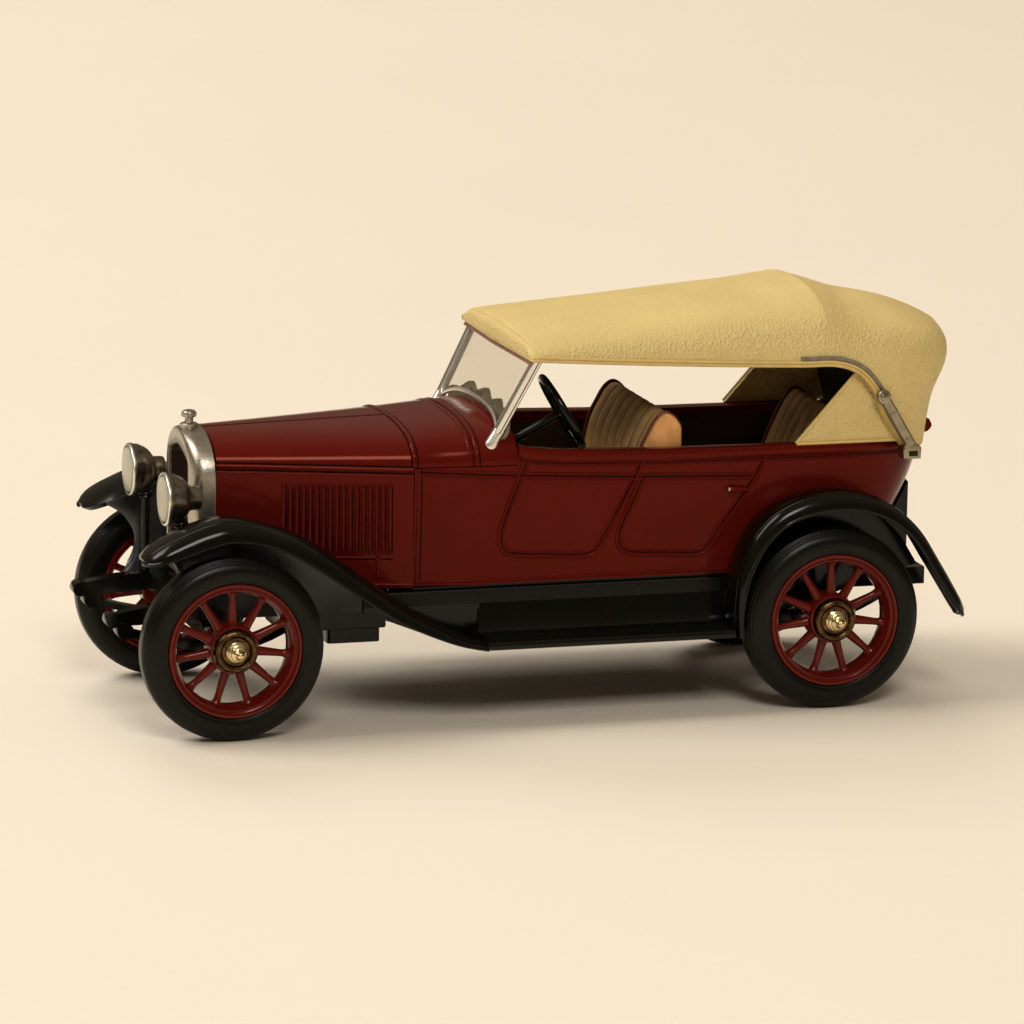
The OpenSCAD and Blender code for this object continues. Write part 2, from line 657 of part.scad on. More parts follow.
module on_screen(depth) {
    translate([screen_x, 0, screen_base_h]) rotate([0, -screen_lean, 0])
        translate([-depth, 0, 0]) rotate([90, 0, 90]) children();
}

module windscreen_frame() {
    rail = 0.55;
    color(plated) on_axles() on_screen(0) difference() {
        linear_extrude(frame_t) polygon(screen_outline(0, 0));
        translate([0, 0, -1]) linear_extrude(frame_t + 2) polygon(screen_outline(post, rail));
    }
}

module windscreen_glass() {
    glass_t = 0.4;
    color("#cfd6d3", 0.5) on_axles() on_screen(glass_t / 2 - frame_t / 2)
        linear_extrude(glass_t) polygon(screen_outline(post + seam, 0.55 + seam));
}

module screen_apron() {
    behind = 0.6;
    lift = behind * tan(screen_lean) + seam;
    wave = [for (k = [-20:20]) let (y = (screen_base_w - post - 0.3) * k / 20)
        [y, screen_foot(y) + lift + 0.9 + 0.45 * cos(72 * k / 4)]];
    low = [for (k = [20:-1:-20]) let (y = (screen_base_w - post - 0.3) * k / 20) [y, screen_foot(y) + lift]];
    color(plated) on_axles() on_screen(behind) linear_extrude(behind - 0.1) polygon(concat(wave, low));
}

// ---- Raised top ----

hem_y = 13.5;
top_front_x = screen_x - 3.1;
header_h = screen_base_h + screen_len * cos(screen_lean) + 0.25;

// Rows of the top: the hem, the corner that the cloth is drawn over, and the middle, front to back
top_rows = [
    [[top_front_x, hem_y, header_h], [top_front_x + 0.2, hem_y + 0.1, header_h + 1.7],
        [top_front_x + 0.5, 0, header_h + 1.9]],
    [[top_front_x - 1.2, hem_y, header_h - 0.1], [top_front_x - 1.2, hem_y, header_h + 2.2],
        [top_front_x - 1.2, 0, ridge_h - 3.1]],
    [[screen_x - 16, hem_y, header_h - 0.8], [screen_x - 17, hem_y - 0.1, ridge_h - 2.3],
        [screen_x - 18, 0, ridge_h - 1.7]],
    [[rear_x + 10, hem_y, header_h - 1.4], [rear_x + 7, hem_y - 0.2, ridge_h - 1],
        [rear_x + 7, 0, ridge_h - 0.5]],
    [[rear_x + 3, hem_y, header_h - 1.7], [rear_x, hem_y - 0.3, ridge_h - 0.35],
        [rear_x, 0, ridge_h + 0.1]],
    [[rear_x - 0.8, hem_y, header_h - 1.8], [rear_x - 4.5, hem_y - 0.4, ridge_h - 2],
        [rear_x - 5, 0, ridge_h - 1.05]],
    [[rear_x - 3.4, hem_y, header_h - 2.7], [rear_x - 9.7, hem_y - 0.6, ridge_h - 3.25],
        [rear_x - 10.8, 0, ridge_h - 2.35]],
    [[rear_x - 5.3, hem_y, header_h - 4.8], [rear_x - 14.4, hem_y - 1.2, ridge_h - 5.25],
        [rear_x - 15.7, 0, ridge_h - 4.4]],
    [[rear_x - 6.4, hem_y, header_h - 7.2], [rear_x - 16, hem_y - 2, ridge_h - 7.7],
        [rear_x - rear_overhang, 0, ridge_h - 6.3]],
    [[rear_x - 7.8, hem_y - 0.3, header_h - 9.4], [rear_x - 14.6, hem_y - 2.2, rail_h + 4.6],
        [rear_x - rear_overhang + 1.65, 0, rail_h + 5]],
    [[rear_x - 9.4, side_y + 0.9, rail_h - 0.9], [rear_x - 13.9, hem_y - 2.4, rail_h - 0.9],
        [rear_x - rear_overhang + 2.5, 0, rail_h - 0.9]]
];

function bend(a, b, c, d, t) =
    pow(1 - t, 3) * a + 3 * t * pow(1 - t, 2) * b + 3 * t * t * (1 - t) * c + pow(t, 3) * d;

module soft_top() {
    steps = 30;
    half = [for (i = [0:steps]) let (t = i * (len(top_rows) - 1) / steps)
        let (hem = curve_at([for (r = top_rows) r[0]], t), corner = curve_at([for (r = top_rows) r[1]], t),
            middle = curve_at([for (r = top_rows) r[2]], t))
        [for (k = [0:10]) bend(hem, mix(hem, corner, 0.85), mix(middle, corner, 0.72), middle, k / 10)]];
    rows = [for (row = half) concat(row, [for (k = [9:-1:0]) [row[k][0], -row[k][1], row[k][2]]])];
    color(canvas_tan) on_axles() sheet(rows, cloth);
}

// The fixed side curtain in the corner behind the rear door
module quarter_panels() {
    panel_y = hem_y - cloth - 0.25;
    outline = [[rear_x - 2.3, header_h - 2.9], [rear_x + 3.9, rail_h + 0.1], [rear_x - 8.1, rail_h + 0.1],
        [rear_x - 5.7, header_h - 5.6]];
    color(canvas_tan) on_axles() both_sides() side_plate(outline, panel_y - 0.6, panel_y);
}

// A plated stay with its knuckle, from the hem down to a bracket on the body's corner
module landau_irons() {
    knuckle = [rear_x - 6.2, header_h - 5.2];
    foot = [rear_x - 9.8, rail_h - 1.2];
    reach = norm(foot - knuckle);
    turn = atan2(foot[1] - knuckle[1], foot[0] - knuckle[0]);
    bar_y = hem_y + 0.25;
    color(plated) on_axles() both_sides() {
        translate([knuckle[0], bar_y, knuckle[1]]) rotate([0, -turn, 0]) translate([0, 0, -0.6])
            cube([reach, 0.6, 1.2]);
        translate([knuckle[0], bar_y + 0.7, knuckle[1]]) rotate([90, 0, 0]) cylinder(h = 0.7, r = 0.85);
        translate([foot[0] - 1.2, side_y + seam, rail_h - 3])
            cube([2.4, bar_y + 0.6 - side_y - seam, 1.75]);
    }
}

// The fuel tank behind the body, whose front follows the tail's side and whose back follows its plan
module rear_trunk() {
    low = frame_low_h + 2 + seam;
    top = low + 9.1;
    gap = 0.12;
    wall = 0.55;
    half_w = 6.5;
    outline = concat(
        [for (k = [0:8]) let (h = mix(low, top, k / 8)) [tail_x - tail_depth(max(h, sill_h)) - gap, h]],
        [[tail_x - tail_reach - 2, top], [tail_x - tail_reach - 2, low]]);
    plan = [for (a = [30:10:150]) [tail_x - (tail_depth(top) + gap + wall) * pow(sin(a), 2 / tub_bulge),
        side_y * (cos(a) < 0 ? -1 : 1) * pow(abs(cos(a)), 2 / tub_bulge)]];
    color(black_gloss) on_axles() intersection() {
        side_plate(outline, -half_w, half_w);
        linear_extrude(height = top + 1) polygon(plan);
    }
}

frame();
front_springs();
rear_springs();
sump();
front_axle();
rear_axle();
front_wing_left();
front_wing_right();
rear_wing_left();
rear_wing_right();
running_board_left();
running_board_right();
radiator_shell();
radiator_core();
radiator_cap();
headlamps();
lamp_lenses();
bonnet();
cowl();
body_tub();
tail_roll();
floor();
dashboard();
front_seat();
rear_seat();
steering_wheel();
windscreen_frame();
windscreen_glass();
screen_apron();
soft_top();
quarter_panels();
landau_irons();
rear_trunk();
wheel_front_left();
tyre_front_left();
hub_cap_front_left();
wheel_front_right();
tyre_front_right();
hub_cap_front_right();
wheel_rear_left();
tyre_rear_left();
hub_cap_rear_left();
wheel_rear_right();
tyre_rear_right();
hub_cap_rear_right();
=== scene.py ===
# %% [markdown]
# A scale model of an open touring car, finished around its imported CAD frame.
# The frame fixes where every piece is and how big it is. This file only builds the looks: finer
# surfaces that stand for the plain CAD solids, the small mouldings, and a finish for each material.
# Lengths are in millimetres here, because that is how a model this small is measured, and one helper
# turns them into Blender's metres. X runs forward, Y to the car's left, and Z up from the floor.

import math

import bmesh
import bpy
import numpy as np
from mathutils import Matrix, Vector


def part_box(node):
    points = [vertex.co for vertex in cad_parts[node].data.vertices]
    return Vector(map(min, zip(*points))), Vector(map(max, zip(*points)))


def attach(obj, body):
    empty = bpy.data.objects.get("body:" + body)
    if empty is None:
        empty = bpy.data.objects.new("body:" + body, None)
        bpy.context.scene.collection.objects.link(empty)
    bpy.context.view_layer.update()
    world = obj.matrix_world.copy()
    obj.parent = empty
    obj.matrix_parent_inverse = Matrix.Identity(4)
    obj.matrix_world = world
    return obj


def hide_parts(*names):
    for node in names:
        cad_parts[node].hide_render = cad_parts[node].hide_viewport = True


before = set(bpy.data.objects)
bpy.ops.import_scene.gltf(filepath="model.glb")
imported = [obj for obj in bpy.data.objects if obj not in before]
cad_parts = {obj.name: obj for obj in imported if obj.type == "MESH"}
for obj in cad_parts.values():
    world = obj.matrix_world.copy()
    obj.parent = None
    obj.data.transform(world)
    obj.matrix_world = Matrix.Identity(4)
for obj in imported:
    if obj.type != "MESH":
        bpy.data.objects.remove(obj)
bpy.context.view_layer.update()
MM = 0.001
scene = bpy.context.scene


def box_mm(node):
    """A CAD node's lowest and highest corners, in millimetres."""
    low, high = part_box(node)
    return np.array(low) / MM, np.array(high) / MM


tyre_low, tyre_high = box_mm("tyre_front_left")
front_x = (tyre_low[0] + tyre_high[0]) / 2
rear_low, rear_high = box_mm("tyre_rear_left")
rear_x = (rear_low[0] + rear_high[0]) / 2
mid_x = (front_x + rear_x) / 2
tyre_r = tyre_high[2] / 2
side_y = box_mm("body_tub")[1][1]
print(f"axles at {front_x:.2f} and {rear_x:.2f} mm, tyre radius {tyre_r:.1f}, body half width {side_y:.1f}")

# %% [markdown]
# Every height on this car is easiest to read from the axles, and every place along it from the middle
# of the wheelbase, as a body draughtsman's lines are. Two short functions turn those into the frame's
# own numbers, so the whole dress follows the CAD if the wheelbase or the tyres change.

# %% Reference lines


def up(h):
    """Height over the floor of a height over the axles."""
    return tyre_r + h


def along(x):
    """Place in the frame of a distance ahead of the middle of the wheelbase."""
    return mid_x + x


def mix(a, b, t):
    """The value a share t of the way from a to b."""
    return a * (1 - t) + b * t


def ease(t):
    """A share that starts and ends gently."""
    t = min(1.0, max(0.0, t))
    return t * t * (3 - 2 * t)


def curve_at(points, t):
    """A point on the smooth curve through points, t counted in points from the first."""
    i = min(int(t), len(points) - 2)
    f = t - i
    a, b = points[max(i - 1, 0)], points[i]
    c, d = points[i + 1], points[min(i + 2, len(points) - 1)]
    return 0.5 * (2 * b + (c - a) * f + (2 * a - 5 * b + 4 * c - d) * f**2 + (3 * b - a - 3 * c + d) * f**3)


def curve(points, steps):
    """The smooth curve through points, in equal steps of its parameter."""
    points = np.array(points, float)
    return np.array([curve_at(points, k * (len(points) - 1) / steps) for k in range(steps + 1)])


def even(points, step):
    """A line's own shape, with its points spaced evenly."""
    points = np.array(points, float)
    gaps = np.linalg.norm(np.diff(points, axis=0), axis=1)
    run = np.concatenate([[0], np.cumsum(gaps)])
    n = max(2, int(run[-1] / step) + 1)
    at = np.linspace(0, run[-1], n)
    return np.stack([np.interp(at, run, points[:, k]) for k in range(points.shape[1])], axis=1)


sill_h, rail_h, hem_h = 4.65, 18.6, 29.107
bonnet_back_x = front_x - 21.1
cowl_back_x = front_x - 32.4
screen_x = front_x - 30.2
tail_x = rear_x + 1
print("bonnet ends at", round(bonnet_back_x, 2), "and the tail starts at", round(tail_x, 2))

# %% [markdown]
# Each piece is gathered from simple shapes: skins laid over a grid of points, tubes swept along a line,
# and turned profiles. They could be separate objects, but one mesh for each piece keeps the car as easy
# to handle as the real one's box of castings. A piece keeps a list of its finishes, and each shape in
# it says which one it wears.

# %% Skins


def grid(rows, close_rows=False, close_cols=False):
    """A skin over a grid of points."""
    rows = np.array(rows, float)
    m, n = rows.shape[:2]
    faces = []
    for i in range(m if close_rows else m - 1):
        for j in range(n if close_cols else n - 1):
            a, b = i * n + j, i * n + (j + 1) % n
            c, d = ((i + 1) % m) * n + (j + 1) % n, ((i + 1) % m) * n + j
            faces.append((a, b, c, d))
    return rows.reshape(-1, 3), faces


def ring_skin(rings):
    """Closed rings of points joined into one closed solid, with flat ends."""
    verts, faces = grid(rings, close_cols=True)
    n = len(rings[0])
    last = (len(rings) - 1) * n
    ends = [tuple(range(n)), tuple(range(last, last + n))]
    return verts, faces + ends


def unit(vectors):
    """Each vector of a list at length one."""
    return vectors / np.maximum(np.linalg.norm(vectors, axis=-1, keepdims=True), 1e-12)


def facing(rows):
    """The direction that a grid of points faces at each of them."""
    a = np.gradient(rows, axis=0)
    b = np.gradient(rows, axis=1)
    return unit(np.cross(a, b))


def sheet(rows, thick):
    """A curved sheet: its outer skin, its inner skin a thickness in, and its edges."""
    rows = np.array(rows, float)
    inner = rows - thick * facing(rows)
    m, n = rows.shape[:2]
    s = m * n
    verts = np.concatenate([rows.reshape(-1, 3), inner.reshape(-1, 3)])
    outer_faces, inner_faces, edges = [], [], []
    for i in range(m - 1):
        for j in range(n - 1):
            k = i * n + j
            outer_faces.append((k, k + n, k + n + 1, k + 1))
            inner_faces.append((s + k, s + k + 1, s + k + n + 1, s + k + n))
    for i in range(m - 1):
        k, e = i * n, i * n + n - 1
        edges.append((k, s + k, s + k + n, k + n))
        edges.append((e, e + n, s + e + n, s + e))
    for j in range(n - 1):
        k = (m - 1) * n + j
        edges.append((j, j + 1, s + j + 1, s + j))
        edges.append((k, s + k, s + k + 1, k + 1))
    return verts, outer_faces, inner_faces, edges


def signed(thick, rows, i, j, axis):
    """A sheet's thickness, negative where the grid's own facing at one of its points is inward."""
    return thick if facing(np.array(rows, float))[i, j, axis] > 0 else -thick


print("a grid of 3 by 4 points has", len(grid(np.zeros((3, 4, 3)))[1]), "faces")

# %% [markdown]
# Most small work on a car body is a bar, a bead or a turning. A bar has a round section carried along a
# line. A bead is half round and lies on a panel, so it needs to know which way the panel faces. Turned
# work needs only its profile. Each of these returns points and faces, ready to be put in a piece.

# %% Bars, beads and turnings


def frames(points):
    """Two directions across a line at each of its points, carried along it without twist."""
    tangent = unit(np.gradient(np.array(points, float), axis=0))
    hint = np.array((0.0, 0, 1))
    if abs(tangent[0] @ hint) > 0.95:
        hint = np.array((1.0, 0, 0))
    firsts, seconds = [], []
    first = hint - (hint @ tangent[0]) * tangent[0]
    for t in tangent:
        first = first - (first @ t) * t
        first /= np.linalg.norm(first)
        firsts.append(first.copy())
        seconds.append(np.cross(t, first))
    return np.array(firsts), np.array(seconds)


def tube(points, radius, sides):
    """A round bar along a line. Its radius may change along it."""
    points = np.array(points, float)
    radius = np.broadcast_to(np.array(radius, float), (len(points),))
    first, second = frames(points)
    turns = [2 * math.pi * k / sides for k in range(sides)]
    rings = [[p + r * (math.cos(a) * f + math.sin(a) * s) for a in turns]
             for p, r, f, s in zip(points, radius, first, second)]
    return ring_skin(rings)


def bead(points, out, width, height, sides=9):
    """A half-round moulding that lies on a surface facing out, along a line of points on it."""
    points = np.array(points, float)
    out = np.broadcast_to(np.array(out, float), points.shape)
    across = unit(np.cross(unit(np.gradient(points, axis=0)), out))
    width = np.broadcast_to(np.array(width, float), (len(points),))
    height = np.broadcast_to(np.array(height, float), (len(points),))
    turns = [math.pi * k / (sides - 1) for k in range(sides)]
    rings = []
    for p, a, o, w, h in zip(points, across, out, width, height):
        arc = [p + a * w / 2 * math.cos(turn) + o * h * math.sin(turn) for turn in turns]
        rings.append(arc + [p - a * w / 2 - o * 0.08, p + a * w / 2 - o * 0.08])
    return ring_skin(rings)


def turned(profile, place, steps):
    """A profile of (radius, height) pairs turned about its own axis, then placed. It may start and end
    on the axis, or be a closed loop away from it."""
    closed = profile[0][0] > 1e-6 or profile[-1][0] > 1e-6
    rings = [[place(r * math.cos(2 * math.pi * k / steps), r * math.sin(2 * math.pi * k / steps), h)
              for r, h in profile if r > 1e-6] for k in range(steps)]
    verts, faces = grid(rings, close_rows=True, close_cols=closed)
    n = len(rings[0])
    verts = list(verts)
    for end, column in ((0, 0), (-1, n - 1)):
        if not closed and profile[end][0] <= 1e-6:
            tip = len(verts)
            verts.append(place(0, 0, profile[end][1]))
            for k in range(steps):
                a, b = k * n + column, ((k + 1) % steps) * n + column
                faces.append((tip, a, b))
    return np.array(verts), faces


def plate(outline, place, thick, edge=0.0):
    """A flat plate cut to an outline of (u, v) pairs, its edges rounded over, and placed by a function
    of (u, v, depth)."""
    outline = np.array(outline, float)
    following = np.roll(outline, -1, axis=0)
    ahead = unit(following - outline)
    behind = np.roll(ahead, 1, axis=0)
    area = np.sum(outline[:, 0] * following[:, 1] - following[:, 0] * outline[:, 1])
    inward = np.stack([-ahead[:, 1] - behind[:, 1], ahead[:, 0] + behind[:, 0]], axis=1)
    inward *= math.copysign(1.0, area)
    inward /= np.maximum(np.sum(inward * inward, axis=1, keepdims=True) / 2, 0.3)
    rounded = [(0.0, 0.0)]
    if edge > 0:
        turns = [math.pi / 2 * k / 3 for k in range(4)]
        rounded = [(edge * (1 - math.sin(a)), edge * (1 - math.cos(a))) for a in turns]
    levels = rounded + [(inset, thick - depth) for inset, depth in reversed(rounded)]
    return ring_skin([[place(u, v, depth) for u, v in outline + inward * inset] for inset, depth in levels])


def banded(section, points, outs):
    """A moulding whose section (pairs outward and up) follows a line of points, each with its own
    outward direction."""
    upward = np.array((0.0, 0, 1))
    return ring_skin([[p + u * o + v * upward for u, v in section] for p, o in zip(points, outs)])


def spaced(line, count):
    """A closed line's points at equal distances, a set number of them."""
    length = np.sum(np.linalg.norm(np.diff(line, axis=0), axis=1))
    return even(line, length / count * 1.0000001)[:count]


print("a bar of 5 stations and 8 sides has", len(tube([(0, 0, z) for z in range(5)], 1, 8)[1]), "faces")

# %% [markdown]
# A piece starts as an empty tray with a list of finishes. Shapes are laid in it one by one, the left
# side is mirrored to the right where the two match, and then it is made. Making it recalculates which
# way every face looks, shades it smooth but for its sharp edges, and ties it to its body.

# %% Pieces


class Piece:
    """Gathers the shapes and finishes of one piece before it becomes a mesh."""

    def __init__(self, *finishes):
        self.finishes = list(finishes)
        self.verts, self.faces, self.wears = [], [], []

    def add(self, shape, wears=0):
        verts, faces = shape
        base = len(self.verts)
        self.verts.extend(tuple(float(c) for c in v) for v in verts)
        self.faces.extend(tuple(i + base for i in f) for f in faces)
        self.wears.extend([wears] * len(faces))

    def add_sheet(self, rows, thick, outer=0, inner=0, edge=0):
        """Adds a curved sheet whose two sides and edges may wear different finishes. A negative
        thickness puts the second side on the other hand of the first."""
        verts, *groups = sheet(rows, thick)
        for faces, wears in zip(groups, (outer, inner, edge)):
            self.faces.extend(tuple(i + len(self.verts) for i in f) for f in faces)
            self.wears.extend([wears] * len(faces))
        self.verts.extend(tuple(float(c) for c in v) for v in verts)

    def join(self, other):
        """Adds all that another piece gathered. Both list the same finishes."""
        base = len(self.verts)
        self.verts.extend(other.verts)
        self.faces.extend(tuple(i + base for i in f) for f in other.faces)
        self.wears.extend(other.wears)

    def mirror(self):
        """Adds the same shapes again on the car's other side."""
        base = len(self.verts)
        self.verts += [(x, -y, z) for x, y, z in self.verts]
        self.faces += [tuple(i + base for i in f) for f in self.faces]
        self.wears += self.wears

    def make(self, name, body="car", replaces=(), sharp=35):
        """Turns what was gathered into one smooth-shaded object that rides on a body."""
        mesh = bpy.data.meshes.new(name)
        mesh.from_pydata([(x * MM, y * MM, z * MM) for x, y, z in self.verts], [], self.faces)
        for finish in self.finishes:
            mesh.materials.append(finish)
        mesh.polygons.foreach_set("material_index", self.wears)
        mesh.validate()
        shell = bmesh.new()
        shell.from_mesh(mesh)
        bmesh.ops.recalc_face_normals(shell, faces=shell.faces)
        shell.to_mesh(mesh)
        shell.free()
        mesh.shade_smooth()
        mesh.set_sharp_from_angle(angle=math.radians(sharp))
        piece = bpy.data.objects.new(name, mesh)
        scene.collection.objects.link(piece)
        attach(piece, body)
        if replaces:
            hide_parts(*replaces)
        print(f"{name}: {len(mesh.polygons)} faces")


print("an empty piece holds", len(Piece().faces), "faces")

# %% [markdown]
# A finish is more than a colour. Even a new model shows a little unevenness: paint lies in a soft
# orange peel, plate is speckled, moulded plastic takes its grain from the tool. One function lays that
# variation over a base colour with noise in the piece's own space, in three ways: a drift of colour, a
# drift of gloss and a fine bump. The numbers that are the same all over go on the shader itself.

# %% Finishes


def finish(name, colour, rough, metal=0.0, coat=0.0, drift=0.08, drift_size=4.0, gloss_drift=0.05,
           bump=0.0, bump_size=0.3, grain="noise", dark=None, specular=0.5, tint=None, ior=None,
           through=0.0, fleck=None, calm_top=False):
    """A shader whose colour, gloss and surface all vary a little. Sizes are in millimetres."""
    mat = bpy.data.materials.new(name)
    mat.use_nodes = True
    nodes, links = mat.node_tree.nodes, mat.node_tree.links
    shader = nodes["Principled BSDF"]
    shader.inputs["Metallic"].default_value = metal
    shader.inputs["Coat Weight"].default_value = coat
    shader.inputs["Coat Roughness"].default_value = 0.06
    shader.inputs["Specular IOR Level"].default_value = specular
    shader.inputs["Transmission Weight"].default_value = through
    if ior:
        shader.inputs["IOR"].default_value = ior
    if tint:
        shader.inputs["Specular Tint"].default_value = (*tint, 1)
    place = nodes.new("ShaderNodeTexCoord")
    scaled = nodes.new("ShaderNodeMapping")
    scaled.inputs["Scale"].default_value = (1 / MM, 1 / MM, 1 / MM)
    links.new(place.outputs["Object"], scaled.inputs["Vector"])

    def noise(size, detail=3.0):
        made = nodes.new("ShaderNodeTexNoise")
        made.inputs["Scale"].default_value = 1 / size
        made.inputs["Detail"].default_value = detail
        links.new(scaled.outputs["Vector"], made.inputs["Vector"])
        return made.outputs["Fac"]

    lighter = tuple(min(1.0, c * (1 + drift)) for c in colour)
    darker = dark or tuple(c * (1 - drift) for c in colour)
    ramp = nodes.new("ShaderNodeValToRGB")
    ramp.color_ramp.elements[0].position = 0.3
    ramp.color_ramp.elements[0].color = (*darker, 1)
    ramp.color_ramp.elements[1].position = 0.7
    ramp.color_ramp.elements[1].color = (*lighter, 1)
    links.new(noise(drift_size), ramp.inputs["Fac"])
    base = ramp.outputs["Color"]
    if fleck:
        spots = nodes.new("ShaderNodeValToRGB")
        spots.color_ramp.elements[0].position = 0.55
        spots.color_ramp.elements[0].color = (0, 0, 0, 1)
        spots.color_ramp.elements[1].position = 0.72
        spots.color_ramp.elements[1].color = (1, 1, 1, 1)
        links.new(noise(fleck[0], 2.0), spots.inputs["Fac"])
        blend = nodes.new("ShaderNodeMix")
        blend.data_type = "RGBA"
        links.new(spots.outputs["Color"], blend.inputs["Factor"])
        links.new(base, blend.inputs["A"])
        blend.inputs["B"].default_value = (*fleck[1], 1)
        base = blend.outputs["Result"]
    links.new(base, shader.inputs["Base Color"])
    spread = nodes.new("ShaderNodeMapRange")
    spread.inputs["To Min"].default_value = max(0.0, rough - gloss_drift)
    spread.inputs["To Max"].default_value = min(1.0, rough + gloss_drift)
    links.new(noise(drift_size / 2), spread.inputs["Value"])
    links.new(spread.outputs["Result"], shader.inputs["Roughness"])
    if bump > 0:
        if grain == "leather":
            cells = nodes.new("ShaderNodeTexVoronoi")
            cells.feature = "SMOOTH_F1"
            cells.inputs["Scale"].default_value = 1 / bump_size
            cells.inputs["Smoothness"].default_value = 0.6
            bent = nodes.new("ShaderNodeVectorMath")
            bent.operation = "MULTIPLY_ADD"
            wander = nodes.new("ShaderNodeTexNoise")
            wander.inputs["Scale"].default_value = 1 / (2.2 * bump_size)
            links.new(scaled.outputs["Vector"], wander.inputs["Vector"])
            links.new(wander.outputs["Color"], bent.inputs[0])
            bent.inputs[1].default_value = (bump_size * 0.3,) * 3
            links.new(scaled.outputs["Vector"], bent.inputs[2])
            links.new(bent.outputs["Vector"], cells.inputs["Vector"])
            height = cells.outputs["Distance"]
        else:
            height = noise(bump_size, 4.0)
        if calm_top:
            lie = nodes.new("ShaderNodeNewGeometry")
            parts = nodes.new("ShaderNodeSeparateXYZ")
            fade = nodes.new("ShaderNodeMapRange")
            fade.inputs["From Min"].default_value = 0.55
            fade.inputs["To Min"].default_value = 1.0
            fade.inputs["To Max"].default_value = 0.3
            times = nodes.new("ShaderNodeMath")
            times.operation = "MULTIPLY"
            links.new(lie.outputs["Normal"], parts.inputs["Vector"])
            links.new(parts.outputs["Z"], fade.inputs["Value"])
            links.new(height, times.inputs[0])
            links.new(fade.outputs["Result"], times.inputs[1])
            height = times.outputs["Value"]
        lift = nodes.new("ShaderNodeBump")
        lift.inputs["Strength"].default_value = 1.0
        lift.inputs["Distance"].default_value = bump * MM
        links.new(height, lift.inputs["Height"])
        links.new(lift.outputs["Normal"], shader.inputs["Normal"])
    return mat


print("finishes vary in colour, gloss and surface, over sizes given in mm")

# %% [markdown]
# Most of the car's finishes are listed here: the paints, which are smooth and dark, then rubber and
# metals, then the lens and the glass, and last the browns inside, the leather and the cloth. The dark
# ones have a low specular, because a bright studio would otherwise wash the blacks and the maroon out.

# %% The car's finishes
paint = finish("maroon_paint", (0.092, 0.0058, 0.0032), 0.14, drift=0.06, drift_size=9,
               gloss_drift=0.03, bump=0.005, bump_size=1.2, specular=0.24, tint=(1, 0.3, 0.22))
# The groove shade is painted shade: a near-black finish for the thin lines laid beside beads and in grooves,
# where it stands for the shadow that would fall there.
groove_shade = finish("painted_groove_shade", (0.008, 0.0008, 0.0006), 0.5, drift=0.2, drift_size=2, specular=0.04)
black = finish("gloss_black", (0.003, 0.0029, 0.0017), 0.15, drift=0.15, drift_size=6,
               gloss_drift=0.04, bump=0.006, bump_size=0.9, specular=0.24)
stipple = finish("stippled_black", (0.003, 0.0029, 0.0018), 0.3, drift=0.3, drift_size=1,
                 gloss_drift=0.08, bump=0.06, bump_size=0.3, specular=0.22)
apron_grey = finish("slate_black", (0.018, 0.022, 0.024), 0.3, drift=0.5, drift_size=2.4,
                    gloss_drift=0.1, bump=0.02, bump_size=0.6)
red = finish("wheel_red", (0.105, 0.0068, 0.0042), 0.2, coat=0.1, drift=0.08, drift_size=2,
             gloss_drift=0.05, bump=0.006, bump_size=0.6, specular=0.3, tint=(1, 0.6, 0.5))
rubber = finish("tyre_rubber", (0.0028, 0.0024, 0.001), 0.32, drift=0.2, drift_size=3,
                gloss_drift=0.07, bump=0.012, bump_size=0.25, specular=0.2)
brass = finish("turned_brass", (0.82, 0.66, 0.36), 0.2, metal=1, drift=0.2, drift_size=0.8,
               gloss_drift=0.08, bump=0.02, bump_size=0.3)
bronze = finish("dark_bronze", (0.1, 0.058, 0.028), 0.26, metal=1, drift=0.7, drift_size=0.9,
                gloss_drift=0.1, bump=0.05, bump_size=0.35)
nickel = finish("satin_nickel", (0.46, 0.42, 0.36), 0.32, metal=1, drift=0.12, drift_size=1.2,
                gloss_drift=0.1, bump=0.03, bump_size=0.16, fleck=(0.22, (0.3, 0.27, 0.22)))
plated = finish("bright_plate", (0.88, 0.84, 0.77), 0.34, metal=1, drift=0.06, drift_size=1.5,
                gloss_drift=0.06, bump=0.008, bump_size=0.5)
pewter = finish("pewter", (0.2, 0.175, 0.135), 0.34, metal=1, drift=0.35, drift_size=1.6,
                gloss_drift=0.1, bump=0.05, bump_size=0.7, fleck=(0.7, (0.08, 0.068, 0.05)))
lens = finish("cream_lens", (0.42, 0.385, 0.3), 0.3, drift=0.05, drift_size=1.5, bump=0.02, bump_size=1.5)
glass = finish("screen_glass", (0.9, 0.86, 0.79), 0.02, drift=0.02, drift_size=6, gloss_drift=0.01,
               through=1.0, ior=1.2, specular=0.3)
core_brown = finish("core_brown", (0.012, 0.005, 0.003), 0.6, drift=0.3, drift_size=1,
                    bump=0.05, bump_size=0.5, specular=0.06)
cabin_brown = finish("cabin_brown", (0.028, 0.010, 0.007), 0.5, drift=0.25, drift_size=2,
                     gloss_drift=0.1, bump=0.03, bump_size=0.5)
lining = finish("hood_lining", (0.085, 0.055, 0.024), 0.7, drift=0.2, drift_size=3, bump=0.04, bump_size=0.4)
seat_tan = finish("seat_tan", (0.58, 0.36, 0.14), 0.5, drift=0.18, drift_size=1.8, gloss_drift=0.08,
                  bump=0.05, bump_size=0.3, grain="leather")
seat_end = finish("seat_end_tan", (0.72, 0.35, 0.115), 0.5, drift=0.16, drift_size=1.6, gloss_drift=0.08,
                  bump=0.04, bump_size=0.4, grain="leather")
piping_red = finish("piping_red", (0.15, 0.032, 0.014), 0.4, drift=0.2, drift_size=1,
                    bump=0.02, bump_size=0.3)
hood_tan = finish("hood_tan", (0.69, 0.53, 0.215), 0.5, drift=0.06, drift_size=7, gloss_drift=0.06,
                  bump=0.15, bump_size=0.28, grain="leather", dark=(0.67, 0.51, 0.2), calm_top=True)
hem_tan = finish("hem_tan", (0.66, 0.48, 0.17), 0.42, drift=0.08, drift_size=2, bump=0.02, bump_size=0.5)
